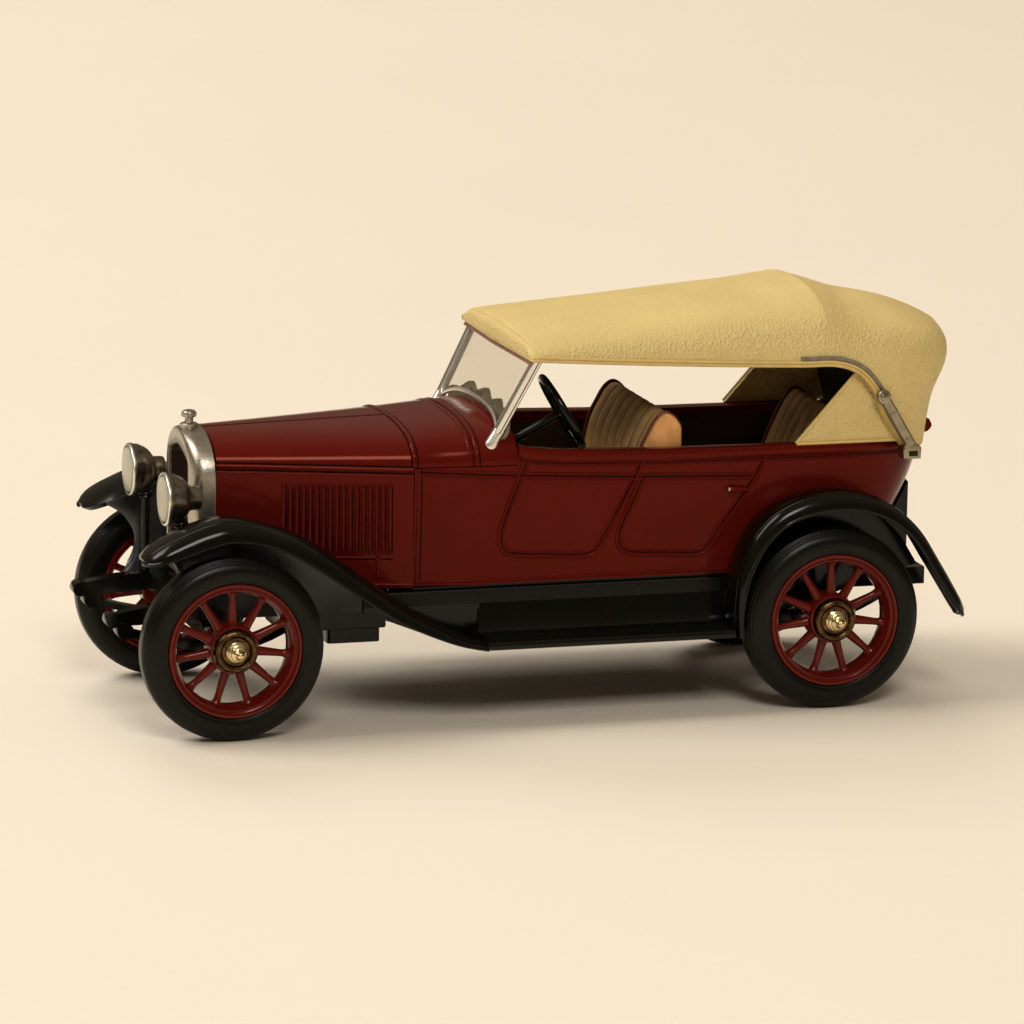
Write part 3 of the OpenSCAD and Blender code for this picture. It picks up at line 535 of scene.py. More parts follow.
hem_grey = finish("hem_grey", (0.2, 0.16, 0.115), 0.45, drift=0.3, drift_size=0.8, bump=0.04, bump_size=0.25)
header_brown = finish("header_brown", (0.26, 0.13, 0.09), 0.5, drift=0.3, drift_size=1,
                      bump=0.04, bump_size=0.3)
print(len(bpy.data.materials), "materials, the frame's own among them")

# %% [markdown]
# The wheels are what the eye counts first. On the real car each was hickory spokes in a steel rim with
# a pressed hub. The model's are die cast with eleven spokes that swell at both ends, because molten
# metal needs a fillet there. One spoke stands straight up. The rim steps down in two rings inside the
# tyre, so it is turned from a line of steps rather than from a plain band.

# %% Wheels
corners = ("front_left", "front_right", "rear_left", "rear_right")
spokes = 11
rim_steps = [(7.28, 1.45), (7.3, 1.9), (7.2, 2.03), (7.0, 2.03), (6.9, 1.92), (6.86, 1.7), (6.74, 1.64),
             (6.66, 1.7), (6.5, 1.68), (6.42, 1.52), (6.36, 1.15), (6.2, 0.95), (6.1, 0.5)]
rim_loop = rim_steps + [(r, -y) for r, y in reversed(rim_steps)]
hub_line = [(0, -1.5), (2.5, -1.5), (2.7, -1.3), (2.7, 1.2), (2.6, 1.42), (2.4, 1.5), (2.3, 1.5), (0, 1.5)]
spoke_at = np.linspace(2.2, 6.25, 12)
spoke_girth = np.interp(spoke_at, [2.2, 2.7, 3.3, 5.2, 5.75, 6.1, 6.25], [.7, .56, .5, .39, .4, .56, .7])


def wheel_place(corner):
    """A function that puts (along, up, out) about this wheel's own centre."""
    low, high = box_mm("tyre_" + corner)
    centre = (low + high) / 2
    side = 1 if "left" in corner else -1
    return lambda a, b, out: (centre[0] + a, centre[1] + side * out, centre[2] + b)


for corner in corners:
    place = wheel_place(corner)
    wheel = Piece(red)
    wheel.add(turned(rim_loop, place, 96))
    wheel.add(turned(hub_line, place, 64))
    for k in range(spokes):
        a = math.pi / 2 + 2 * math.pi * k / spokes
        line = [place(r * math.cos(a), r * math.sin(a), 0.25) for r in spoke_at]
        wheel.add(tube(line, spoke_girth, 14))
    wheel.make("wheel_dress_" + corner, corner + "_wheel", ["wheel_" + corner])

# %% [markdown]
# A tyre of the time was narrow and nearly round in section, with its tread marked only by fine lines
# round the shoulder. The section is a soft superellipse. Three shallow grooves are cut into each
# shoulder of it, and they are what catches the light as a set of thin bright rings.

# %% Tyres
tread = []
for k in range(-90, 91):
    a = math.radians(k)
    out = 2.1 * math.copysign(abs(math.sin(a)) ** 0.8, k)
    cut = sum(0.17 * math.exp(-((abs(out) - at) / 0.06) ** 2) for at in (0.95, 1.3, 1.62))
    tread.append((8.1 + 1.9 * math.cos(a) ** 0.75 - cut if abs(k) < 90 else 8.1, out))
sidewall = [(7.8, 2.08), (7.62, 2.0), (7.58, 2.03), (7.4, 1.96), (7.25, 1.7)]
tyre_loop = tread + sidewall + [(r, -y) for r, y in reversed(sidewall)]
for corner in corners:
    tyre = Piece(rubber)
    tyre.add(turned(tyre_loop, wheel_place(corner), 96))
    tyre.make("tyre_dress_" + corner, corner + "_wheel", ["tyre_" + corner], sharp=60)

# %% [markdown]
# Each hub carries a dark cup with a bright turned knob standing out of it, the grease cap that was
# screwed down on the axle end. On the model the two are one small casting with two finishes. The knob
# has a waist and a bead, and tiny steps left by the tool that read as a spiral when it is polished.

# %% Hub caps
cup = [(0, 1.4), (2.42, 1.4), (2.42, 1.62), (2.38, 1.9), (2.24, 2.25), (2.05, 2.4), (1.8, 2.4), (1.62, 2.2),
       (1.5, 2.05), (1.2, 2.1), (0, 2.1)]
knob = [(0, 2.0), (1.08, 2.0), (1.1, 2.3), (1.02, 2.36), (1.08, 2.46), (1.1, 2.62), (1.02, 2.68), (1.06, 2.8),
        (1.0, 2.92), (.78, 3.02), (.76, 3.1), (.84, 3.18), (.88, 3.32), (.84, 3.46), (.62, 3.56), (.5, 3.66),
        (.46, 3.8), (.4, 3.86), (.42, 4.0), (.36, 4.18), (.2, 4.3), (0, 4.34)]
for corner in corners:
    hub = Piece(bronze, brass)
    hub.add(turned(cup, wheel_place(corner), 56))
    hub.add(turned(knob, wheel_place(corner), 48), 1)
    hub.make("hub_cap_dress_" + corner, corner + "_wheel", ["hub_cap_" + corner], sharp=50)

# %% [markdown]
# The wings were pressed from sheet over a form: a rolled outer edge, a quick round shoulder, and a
# gentle fall inwards to the body. The same rule makes all four here. A lip line runs round the wheel,
# and the rise above it follows a quarter superellipse and then dips. The front pair carry a valance
# down to the frame that closes the gap beside the engine.

# %% Wings
wing_unit, wing_skin = 12, 0.6
front_lip = [(.8, .8, .12, 15.6, 13.6), (.785, .803, .45, 16.5, 12.8), (.74, .812, .95, 17.2, 11.9),
             (.65, .835, 1.5, 17.7, 11.1), (.5, .875, 1.95, 17.8, 10.7),
             (.22, .965, 2.2, 17.8, 10.7), (0, 1, 2.1, 17.8, 10.7), (-.33, .94, 1.8, 17.8, 10.7),
             (-.66, .775, 1.9, 17.8, 10.7), (-1.15, .44, 1.8, 17.8, 10.7), (-1.53, .19, 1.5, 17.8, 11.3),
             (-1.85, .04, 1.1, 17.8, 12.1), (-2.1, -.05, .7, 17.8, 12.9), (-2.33, -.1, .55, 17.8, 12.9)]
rear_lip = [(.9, -.12, .5, 17.8, 12.35), (.885, .15, .8, 17.8, 12.55), (.82, .45, 1.2, 17.8, 12.55),
            (.66, .75, 1.6, 17.8, 12.55), (.4, .95, 1.8, 17.8, 12.55), (0, 1.03, 1.9, 17.8, 12.55),
            (-.4, .965, 1.6, 17.8, 12.55), (-.72, .75, 1.3, 17.8, 12.55), (-.95, .42, 1.2, 17.8, 12.6),
            (-1.14, .13, 1.0, 17.75, 13.0), (-1.2, .05, .8, 17.6, 13.3), (-1.25, -.01, .5, 17.1, 13.8),
            (-1.28, -.04, .12, 16.2, 14.6)]


def wing_rows(lip, axle_x, drop):
    """The wing's outer skin, from its lip inwards, along the wheel from front to back. Each point of
    the lip is (ahead, up, lift, outer side, inner side), the first two counted in wing_unit."""
    across = 26
    line = curve(lip, 8 * (len(lip) - 1))
    run = unit(np.gradient(line[:, :2], axis=0))
    rows = []
    for p, r in zip(line, run):
        row = []
        for k in range(across + 1):
            s = (k / across) ** 1.5
            t, u = min(1.0, s / 0.45), max(0.0, (s - 0.45) / 0.55)
            lift = max(p[2], 0) * ((1 - (1 - t) ** 2.4) ** (1 / 2.4) - drop * u * u)
            row.append((axle_x + wing_unit * p[0] + lift * r[1], mix(p[3], p[4], s),
                        up(wing_unit * p[1] - lift * r[0])))
        rows.append(row)
    return np.array(rows)


def dress_wing(wing, rows):
    """One wing's sheet with its rolled lip and the faint crease above it."""
    out = facing(rows)
    if out[len(rows) // 2, 8, 2] < 0:
        out = -out
    wing.add(tube(rows[:, 0] - (0, 0.17, 0), 0.23, 10))
    wing.add(bead(rows[3:-3, 9], out[3:-3, 9], 0.4, 0.06, 7))


front_wings = Piece(black, apron_grey)
rows = wing_rows(front_lip, front_x, 0.6)
front_wings.add_sheet(rows, signed(wing_skin, rows, 40, 8, 2))
dress_wing(front_wings, rows)
valance = []
for number, p in enumerate(rows[26:86, -1]):
    foot = np.array((p[0], 8.85, up(1.6)))
    knee = np.array((p[0], mix(p[1], 8.85, 0.25), mix(p[2], foot[2], 0.55)))
    hollow = 3.6 * max(0.0, 1 - number / 30) ** 2
    if p[2] > foot[2] + 0.4:
        shares = np.linspace(0, 1, 15)
        drop = [mix(mix(p, knee, t), mix(knee, foot, t), t) for t in shares]
        valance.append([q - (hollow * math.sin(math.pi * t**0.8), 0, 0) for t, q in zip(shares, drop)])
front_wings.add_sheet(valance, -0.45, 1, 1, 1)
front_wings.mirror()
front_wings.make("front_wings_dress", replaces=["front_wing_left", "front_wing_right"])
rear_wings = Piece(black)
rows = wing_rows(rear_lip, rear_x, 0.25)
rear_wings.add_sheet(rows, signed(wing_skin, rows, 40, 8, 2))
dress_wing(rear_wings, rows)
house = [(rear_x + 11.7 * p[0], wing_unit * p[1] - .2) for p in curve(rear_lip, 60)[:-20]]
rear_wings.add(plate(house, lambda x, h, d: (x, 12.42 + d, up(h)), 0.2))
rear_wings.mirror()
rear_wings.make("rear_wings_dress", replaces=["rear_wing_left", "rear_wing_right"])

# %% [markdown]
# A running board is a step, so its top is ribbed or stippled for grip while its edge is rolled smooth.
# It turns up at the back into the splash apron that hides the frame. The board and apron are one
# section drawn along the car, with the stippled tread and the apron's textured band laid on it.

# %% Running boards
board_low, board_high = box_mm("running_board_left")
nose = [(17.3 + 0.5 * math.cos(math.radians(a)), -0.9 + 0.5 * math.sin(math.radians(a)))
        for a in range(-90, 91, 15)]
apron_line = [(13.6, -.4), (13.3, -.3), (13.1, -.05), (12.9, .5), (12.68, 1.3), (12.4, 2.4), (12.3, 3.3),
              (12.25, 4.3)]
board_section = [(12.6, -1.4)] + nose + apron_line + [(11.65, 4.3), (11.7, 2.4), (12.3, .4)]


def lengthways(section, x0, x1, steps=24):
    """A section of (side, height over the axles) pairs drawn from one place along the car to another."""
    stations = np.linspace(x0, x1, steps + 1)
    return ring_skin([[(x, y, up(h)) for y, h in section] for x in stations])


boards = Piece(black, stipple, groove_shade)
boards.add(lengthways(board_section, board_low[0], board_high[0]))
tread_pad = [(13.75, -.42), (17.05, -.42), (17.05, -.36), (16.98, -.33), (13.82, -.33), (13.75, -.36)]
boards.add(lengthways(tread_pad, board_low[0] + 0.7, board_high[0] - 0.7), 1)
band = [(12.3, 2.75), (12.43, 2.78), (12.42, 3.4), (12.36, 4.12), (12.2, 4.15)]
boards.add(lengthways(band, board_low[0] + 0.1, board_high[0] - 0.1), 1)
root = [(12.3, 0.2), (12.45, 2.4), (12.33, 3.3), (12.27, 4.3), (11.65, 4.3), (11.7, 2.4), (11.9, 0.2)]
tail_root = [(y, -1.35 if h < 1 else h) for y, h in root]
boards.add(lengthways(tail_root, board_low[0] - 1.9, board_low[0] + .2, 4))
root_x = np.linspace(board_high[0] - 0.2, front_x - 15.4, 14)
root_foot = np.interp(root_x, [8.3, 11, 14, 18, 20.9], [-1.38, -1.2, -.4, 1.2, 2.2])
boards.add(ring_skin([[(x, y, up(low if h < 1 else max(h, low))) for y, h in root]
                      for x, low in zip(root_x, root_foot)]))
boards.add(lengthways(band, board_high[0], front_x - 15.4, 8), 1)
# Dark beads of painted shade lie across each end of the board, for the shadow at the tread's edge.
for x in (board_low[0] + 0.35, board_high[0] - 0.35):
    boards.add(bead([(x, y, up(-.4)) for y in (13.4, 15, 17.2)], (0, 0, 1), 0.16, 0.02), 2)
boards.mirror()
boards.make("running_boards_dress", replaces=["running_board_left", "running_board_right"])

# %% [markdown]
# The radiator shell was nickel plated, a drawn box with generous corners in plan and a crease round
# its front edge, and a pointed opening that shows the core. The rings of the shell are laid from back
# to front, over the corner and into the opening, so that the light runs unbroken round the edge. The
# core behind it has the close upright tubes of the real one.

# %% Radiator
shell_back, shell_front = box_mm("radiator_shell")[0][0], box_mm("radiator_shell")[1][0]
shell_top = 21.1
ring_count = 96


def shell_ring(half, top, rise, low, x):
    """The shell's outline at one depth: straight sides, a flat foot and a rounded top."""
    line = [(half, low + 0.5), (half, top - rise)]
    for k in range(1, 30):
        a = math.pi * k / 30
        line.append((half * math.cos(a), top - rise + rise * math.sin(a)))
    line += [(-half, top - rise), (-half, low + 0.5), (-half + 0.5, low), (half - 0.5, low), line[0]]
    return [(x, y, up(h)) for y, h in spaced(line, ring_count)]


def opening_ring(grow, x):
    """The pointed opening, grown by a little where its edge is rounded."""
    half, top, low = 4.5 + grow, 19.2 + grow, 5.85 - grow
    right = [(half, low), (half, top - 1.7), (half - .12, top - 1.35), (half - .5, top - 1.05),
             (1.2, top - .2)]
    line = right + [(0, top)] + [(-y, h) for y, h in reversed(right)] + [right[0]]
    return [(x, y, up(h)) for y, h in spaced(line, ring_count)]


round_plan = [(shell_back, .06, .06), (shell_back + 0.08, 0, 0), (shell_front - 1.4, 0, 0),
              (shell_front - 1.0, .1, 0), (shell_front - .7, .28, .02), (shell_front - .45, .55, .05),
              (shell_front - .27, .88, .09), (shell_front - .14, 1.25, .14), (shell_front - .05, 1.6, .2),
              (shell_front, 1.85, .3)]
shell_rings = [shell_ring(6.8 - side, shell_top - over, 4.4, 4.65 + over, x) for x, side, over in round_plan]
shell_rings += [opening_ring(.14, shell_front - .01), opening_ring(.04, shell_front - .06),
                opening_ring(0, shell_front - .2), opening_ring(0, shell_back + .3)]
shell = Piece(nickel)
shell.add(ring_skin(shell_rings))
shell.make("radiator_shell_dress", replaces=["radiator_shell"], sharp=28)

core = Piece(core_brown)
core_low, core_high = box_mm("radiator_core")
core.add(ring_skin([opening_ring(-.03, core_low[0]), opening_ring(-.03, core_high[0] + .2)]))
for k in range(22):
    y = -4.2 + 8.4 * k / 21
    top = up(18.9 - 0.18 * abs(y))
    core.add(tube([(core_high[0] + .22, y, up(6)), (core_high[0] + .22, y, top - .5)], 0.11, 6))
core.make("radiator_core_dress", replaces=["radiator_core"])

neck_line = [(0, -.3), (1.15, -.3), (1.15, .45), (1.08, .52), (.6, .7), (.55, .8), (.55, 1.25), (.6, 1.3),
             (.86, 1.38), (.92, 1.5), (.92, 1.95), (.86, 2.08), (.7, 2.22), (.4, 2.3), (0, 2.34)]
cap_low, cap_high = box_mm("radiator_cap")
cap_x = (cap_low[0] + cap_high[0]) / 2
filler = Piece(nickel)
filler.add(turned(neck_line, lambda a, b, h: (cap_x + .85 * a, .85 * b, up(21.0 + .82 * h)), 48))
for k in range(18):
    a = 2 * math.pi * k / 18
    foot = (cap_x + .78 * math.cos(a), .78 * math.sin(a))
    filler.add(tube([(*foot, up(22.2)), (*foot, up(22.62))], 0.06, 6))
filler.make("radiator_cap_dress", replaces=["radiator_cap"])

# %% [markdown]
# The drum headlamps stand on short stems from the frame. Each is a spun bowl with a stepped can
# behind it for the bulb, a bright rolled rim in front, and a plain domed lens. The bowls of the model
# have a dull pewter wash that lies darker in streaks, so their finish is the most uneven of all.

# %% Headlamps
lamp_x, lamp_y, lamp_h = front_x + 5.8, 8.2, 14.9
stem_x = lamp_x - 2


def in_lamp(a, b, ahead):
    """A point about the left lamp's own axis, some way ahead of its rim."""
    return lamp_x + ahead, lamp_y + a, up(lamp_h) + b


bowl = [(0, -.45), (2.3, -.45), (2.5, -.1), (2.62, 0), (2.8, -.06), (2.88, -.22), (2.9, -.45), (2.84, -.62),
        (2.78, -.72), (2.76, -1.1), (2.62, -1.45), (2.38, -1.95), (2.1, -2.3), (1.75, -2.6), (1.42, -2.8),
        (1.36, -2.95), (1.32, -3.1), (1.3, -3.85), (1.22, -4.02), (1.05, -4.1), (0, -4.12)]
lamps = Piece(pewter, plated, black)
lamps.add(turned(bowl, in_lamp, 64))
ring_loop = [(2.74 + .17 * math.cos(math.radians(a)), -.2 + .2 * math.sin(math.radians(a)))
             for a in range(0, 360, 30)]
lamps.add(turned(ring_loop, in_lamp, 64), 1)
lamps.add(tube([(stem_x, lamp_y, up(h)) for h in (3.6, 8, 12.9)], [.5, .42, .5], 14), 2)
for h in (11.9, 12.25):
    lamps.add(turned([(0, -.12), (.78, -.12), (.84, 0), (.78, .12), (0, .12)],
                     lambda a, b, d, h=h: (stem_x + a, lamp_y + b, up(h) + d), 24), 2)
lamps.mirror()
lamps.make("headlamps_dress", replaces=["headlamps"])
dome = [math.radians(a) for a in range(10, 90, 10)]
lens_line = [(0, -.4), (2.46, -.4), (2.46, -.05)]
lens_line += [(2.4 * math.cos(a), .02 + .22 * math.sin(a)) for a in dome] + [(0, .24)]
lenses = Piece(lens)
lenses.add(turned(lens_line, in_lamp, 48))
lenses.mirror()
lenses.make("lamp_lenses_dress", replaces=["lamp_lenses"])

# %% [markdown]
# The bonnet is folded from two sheets a side: a flat louvred side, hinged along a raised line to a top
# that arches over the engine. It tapers in plan and its top swells from a broad curve at the scuttle
# to a true half round at the radiator. One skin is laid over those changing arches. The hinge is a
# raised band between two dark lines of painted shade, which stand for the shadow in the grooves beside
# it, and that is how it reads on a car this small.

# %% Bonnet
bonnet_x = (bonnet_back_x + 0.05, front_x - 0.45)


def arch(half, rise, bulge, steps):
    """Half of an ellipse, or a fuller or leaner one, from the left foot over to the right foot."""
    line = []
    for k in range(steps + 1):
        a = math.pi * k / steps
        c, s = math.cos(a), max(0.0, math.sin(a))
        line.append((half * math.copysign(abs(c) ** (2 / bulge), c), rise * s ** (2 / bulge)))
    return line


def bonnet_shape(x):
    """Half its width, the heights of its hinge and its top, and its fullness, at a place along it."""
    t = (x - bonnet_x[0]) / (bonnet_x[1] - bonnet_x[0])
    return mix(11.6, 6.7, t), mix(17.6, 18.0, t), mix(21.5, 21.0, t), mix(2.6, 2.0, t)


def bonnet_across(x):
    """One line over the bonnet, from its left foot to its right foot."""
    half, hinge, top, bulge = bonnet_shape(x)
    sides = [(half, mix(sill_h, hinge, k / 10)) for k in range(10)]
    over = [(y, hinge + z) for y, z in arch(half, top - hinge, bulge, 56)]
    return [(x, y, up(h)) for y, h in sides + over + [(-y, h) for y, h in reversed(sides)]]


stations = np.linspace(*bonnet_x, 40)
bonnet_out = np.array((4.9, 20.6, 0)) / math.hypot(4.9, 20.6)
bonnet = Piece(paint, groove_shade, plated)
rows = [bonnet_across(x) for x in stations]
bonnet.add_sheet(rows, signed(0.9, rows, 20, 38, 2))
print(f"bonnet skin {len(rows)} lines long, {bonnet_x[1] - bonnet_x[0]:.1f} mm")

# %% [markdown]
# The side of a bonnet is busy. Under the hinge are the louvres, which let the hot air out, and the
# catch that holds the side shut. A louvre is a long bead with rounded ends, and beside each lies a
# dark line of painted shade that stands for the shadow in the gap. The catch's slot and the line under
# the louvres are painted shade in the same way. They are laid on the left side only, and then mirrored
# and joined to the skin.

# %% Bonnet sides
hinge_line = np.array([(x, bonnet_shape(x)[0], up(bonnet_shape(x)[1])) for x in stations])
side_part = Piece(paint, groove_shade, plated)
side_part.add(bead(hinge_line + (0, 0, -.05), bonnet_out, 0.5, 0.2))
side_part.add(bead(hinge_line + (0, 0, .32), bonnet_out + (0, 0, .35), 0.16, 0.05, 5), 1)
side_part.add(bead(hinge_line + (0, 0, -.45), bonnet_out, 0.18, 0.05, 5), 1)
side_part.add(bead(hinge_line + (0, 0, -.72), bonnet_out, 0.14, 0.07, 5))
swell = np.sqrt(np.maximum(0.04, 1 - np.abs(np.linspace(-1, 1, 24)) ** 9))
for x in np.linspace(along(26.2), along(15.1), 17):
    line = [(x, bonnet_shape(x)[0], z) for z in np.linspace(18.2, 26.3, 24)]
    side_part.add(bead(line, bonnet_out, 0.44 * swell, 0.4 * swell))
    gap = [(x - .31, bonnet_shape(x - .31)[0], z) for z in np.linspace(18.35, 25.9, 8)]
    side_part.add(bead(gap, bonnet_out, 0.13, 0.02, 5), 1)
low_line = [(x, bonnet_shape(x)[0], 17.95) for x in np.linspace(along(26.6), along(14.7), 12)]
side_part.add(bead(low_line, bonnet_out, 0.22, 0.1))
side_part.add(bead(np.array(low_line) - (0, 0, .2), bonnet_out, 0.12, 0.03, 5), 1)
latch_x = along(16.3)
latch = np.array([(latch_x, bonnet_shape(latch_x)[0] + .1, z) for z in np.linspace(15.9, 18.1, 12)])
side_part.add(bead(latch, bonnet_out, [.4, .5, .44, .36, .32, .32, .36, .44, .54, .62, .62, .4], 0.45))
side_part.add(bead(latch[4:8] + (0.05, 0.1, 0), bonnet_out, 0.12, 0.32), 1)
foot_line = [(x, bonnet_shape(x)[0], up(4.95)) for x in stations]
side_part.add(bead(foot_line, bonnet_out, 0.3, 0.1))
side_part.mirror()
bonnet.join(side_part)
spine = np.array([(x, 0, up(bonnet_shape(x)[2])) for x in stations])
# A centre bead runs along the top, with a dark line of painted shade on each side of it for its shadow.
for y in (-.2, .2):
    bonnet.add(bead(spine + (0, y, 0), (0, 0, 1), 0.1, 0.03, 5), 1)
bonnet.add(bead(spine, (0, 0, 1), 0.24, 0.05, 7))
bonnet.make("bonnet_dress", replaces=["bonnet"])

# %% [markdown]
# Behind the bonnet the scuttle carries its curve back to the windscreen and widens to the body. The
# bonnet shuts against a raised band here. Two fine beads follow the foot of the screen, as the
# beading nailed over the joint did. The same width rule is used again for the body sides below, so
# that the two skins meet in one line.

# %% Scuttle
spring_h, fullness = 17.8, 2.6


def body_half(x):
    """Half the body's width at a place along it."""
    return mix(11.6, 12.3, ease((bonnet_back_x - x) / 9))


def scuttle_top(x):
    """Height of the scuttle's middle line over the axles."""
    return mix(21.5, 22.4, (bonnet_back_x - x) / 11.3)


def over_scuttle(x):
    """One line over the scuttle, from its left foot to its right foot."""
    line = arch(body_half(x), scuttle_top(x) - spring_h, fullness, 56)
    return np.array([(x, y, up(spring_h + h)) for y, h in line])


scuttle = Piece(paint, groove_shade, cabin_brown)
rows = np.array([over_scuttle(x) for x in np.linspace(bonnet_back_x, cowl_back_x, 28)])
scuttle.add_sheet(rows, signed(0.9, rows, 10, 28, 2), 0, 2, 0)


def out_of_arch(line):
    """The direction out of the scuttle, level along the car, at each point of a line over it."""
    return unit((line - (0, 0, up(15.0))) * (0, 1, 1))


# The beads that wear the groove shade are dark lines of painted shade, standing for the shadow beside the
# raised band and the screen beads.
for x, width, height, wears in ((bonnet_back_x - .05, .5, .2, 0), (bonnet_back_x - .4, .14, .03, 1),
                                (bonnet_back_x + .26, .14, .04, 1), (screen_x + 2.25, .42, .16, 0),
                                (screen_x + 2.62, .12, .03, 1), (screen_x + 3.0, .42, .16, 0),
                                (screen_x + 1.92, .12, .03, 1)):
    line = over_scuttle(x)
    scuttle.add(bead(line, out_of_arch(line), width, height), wears)
scuttle.make("cowl_dress", replaces=["cowl"])

# %% [markdown]
# The tub is one long panel drawn round the back of the car. Its sides tuck in a little towards the
# sill, and the tail rounds off in plan as a squared ellipse that also leans forward as it goes down.
# The panel is laid column by column along that path. The doors are raised lines, each with a dark
# line of painted shade beside it that stands for the shadow under its edge, because the real doors'
# edges stood proud of the panel around them.

# %% Body tub
edge_table = [(tail_x, rail_h), (along(-15.7), 18.7), (cowl_back_x - 5, 19.05), (cowl_back_x - 1.5, 19.4),
              (cowl_back_x - .15, 19.8)]


def edge_h(x):
    """Height of the tub's upper edge."""
    if x > cowl_back_x - 0.1:
        return 17.7
    return float(np.interp(x, [a for a, _ in edge_table], [b for _, b in edge_table]))


def tuck(h, top):
    """How far the side has drawn in at a height."""
    return 0.5 * ((top - h) / (top - sill_h)) ** 2


def tail_depth(h):
    """How far the tail stands behind the end of the sides, at a height."""
    return mix(14.75, 7.95, max(0.0, 1 - (h - 5) / 13.7) ** 1.6)


def on_tub(where, h):
    """A point of the tub's left skin. where is a place along the side, or (turn,) round the tail, from
    0 where the side ends to 90 at the middle of the back and 180 at the other side."""
    if not isinstance(where, tuple):
        return np.array((where, body_half(where) - tuck(h, max(edge_h(where), h)), up(h)))
    c, s = math.cos(math.radians(where[0])), max(0.0, math.sin(math.radians(where[0])))
    across = (side_y - tuck(h, rail_h)) * math.copysign(abs(c) ** (2 / 3.4), c)
    return np.array((tail_x - tail_depth(h) * s ** (2 / 3.4), across, up(h)))


by_scuttle = list(np.linspace(bonnet_back_x - .05, cowl_back_x + .02, 22))
by_rail = list(np.linspace(cowl_back_x - .15, tail_x + .3, 70))
side_places = by_scuttle + by_rail
tail_turns = [(90 * (1 - math.cos(math.pi * k / 60)),) for k in range(61)]
columns = []
for where in side_places + tail_turns:
    top = rail_h if isinstance(where, tuple) else edge_h(where)
    columns.append([on_tub(where, mix(sill_h, top, k / 24)) for k in range(25)])
columns += [[p * (1, -1, 1) for p in column] for column in reversed(columns[:len(side_places)])]
tub = Piece(paint, groove_shade, cabin_brown, plated)
tub.add_sheet(columns, signed(0.85, columns, 30, 12, 1), 0, 2, 0)

print(f"tub skin laid in {len(columns)} columns, {len(by_rail)} of them along each open side")

# %% [markdown]
# The doors have no gaps on a model. Each is a raised outline with a dark line of painted shade, for the
# shadow beside the raised edge, and a second, finer bead inside it, and two beads run the whole length
# of the side under the rail, with a dark line of painted shade between them. The lines are drawn flat,
# as on a body drawing, and then thrown on to the curved skin. One handle stands out on the rear door, a
# swollen bar on a short post.

# %% Doors and mouldings
details = Piece(paint, groove_shade, cabin_brown, plated)
side_out = (0, 1, 0.03)


def moulding(points, width, height, wears=0):
    """A raised line on the body side through (from mid-wheelbase, height over the floor) pairs."""
    line = even(curve(points, 12 * (len(points) - 1)), 0.35)
    details.add(bead([on_tub(along(x), z - tyre_r) for x, z in line], side_out, width, height), wears)


def shift_in(points, by):
    """The same outline, drawn nearer to its own middle."""
    points = np.array(points, float)
    centre = (points.min(axis=0) + points.max(axis=0)) / 2
    away = points - centre
    return centre + away * (1 - by / np.maximum(np.abs(away).max(axis=1, keepdims=True), 1))


front_door = [(.3, 28.9), (.95, 27), (2.3, 23.2), (3.15, 20.4), (2.9, 18.5), (1.5, 17.75), (-2.4, 17.45),
              (-6.2, 17.25), (-7.9, 17.7), (-9.1, 19.4), (-10.7, 22.6), (-12.35, 26), (-13.1, 28)]
rear_door = [(-12.75, 26), (-11.5, 23), (-10.3, 20), (-10.4, 18.2), (-11.8, 17.3), (-15.6, 17),
             (-19.5, 16.85), (-20.9, 17.7), (-22.2, 19.6), (-24.3, 22.7), (-26.3, 25.8), (-27.15, 27.8)]
for door in (front_door, rear_door):
    moulding(door, 0.36, 0.21)
    moulding(shift_in(door, 0.32), 0.14, 0.03, 1)
    moulding(shift_in(door, 0.6), 0.16, 0.09)
for lift in (0.0, -0.62):
    moulding([(12.2, 27.6 + lift), (.8, 26.9 + lift), (-12.7, 26.2 + lift), (-26.3, 25.7 + lift)], .22, .13)
moulding([(12.2, 27.29), (.8, 26.59), (-12.7, 25.89), (-26.3, 25.39)], .16, .03, 1)
# The beads here that wear the groove shade are dark lines of painted shade beside the raised ones.
for x, width, height, wears in ((12.1, .3, .14, 0), (11.7, .14, .03, 1)):
    line = [on_tub(along(x), h) for h in np.linspace(5.2, 17.6, 30)]
    details.add(bead(line, side_out, width, height), wears)
for depth, width, height, wears in ((.42, .2, .1, 0), (.62, .1, .03, 1), (.82, .16, .09, 0)):
    path = [on_tub(x, edge_h(x) - depth - .75) for x in by_rail]
    path += [on_tub(turn, rail_h - depth - .75) for turn in tail_turns[:31]]
    run = np.gradient(np.array(path), axis=0)
    outs = unit(np.stack([run[:, 1], -run[:, 0], 0 * run[:, 2]], axis=1))
    outs[:, 1] = np.abs(outs[:, 1])
    details.add(bead(path, outs, width, height), wears)
sill = [on_tub(x, 5.1) for x in by_scuttle + by_rail[::2]]
details.add(bead(sill, side_out, 0.35, 0.12))

handle = np.array([on_tub(along(x), z - tyre_r) + (0, .42, 0) for x, z in
                   np.linspace((-22.5, 24.12), (-25.0, 23.98), 16)])
girth = [.08, .2, .29, .34, .36, .36, .35, .34, .32, .31, .3, .28, .27, .25, .2, .1]
details.add(tube(handle, girth, 14))
details.add(tube(handle[:3] - (.04, 0, 0), [.1, .23, .3], 12), 3)
boss = on_tub(along(-23.5), 14.08)
details.add(tube([boss - (0, .2, 0), boss + (0, .4, 0)], .3, 14))
details.mirror()
tub.join(details)
print(len(details.faces), "faces of mouldings, doors and handles on the two sides")

# %% [markdown]
# The open edge of the tub was capped with a wooden rail under leather, rolled over the panel. Here it is
# one moulding whose section is carried along the left side, round the tail and back up the right side.
# The section has to turn with the tail, so each place on it has its own outward direction.

# %% Rail round the tub


def tail_out(turn):
    """The level direction that the tail faces at one turn round it."""
    a, b = on_tub((turn[0] - .4,), rail_h), on_tub((turn[0] + .4,), rail_h)
    out = np.array((b[1] - a[1], a[0] - b[0], 0)) / np.linalg.norm((b - a)[:2])
    return out if out[0] <= 0 else -out


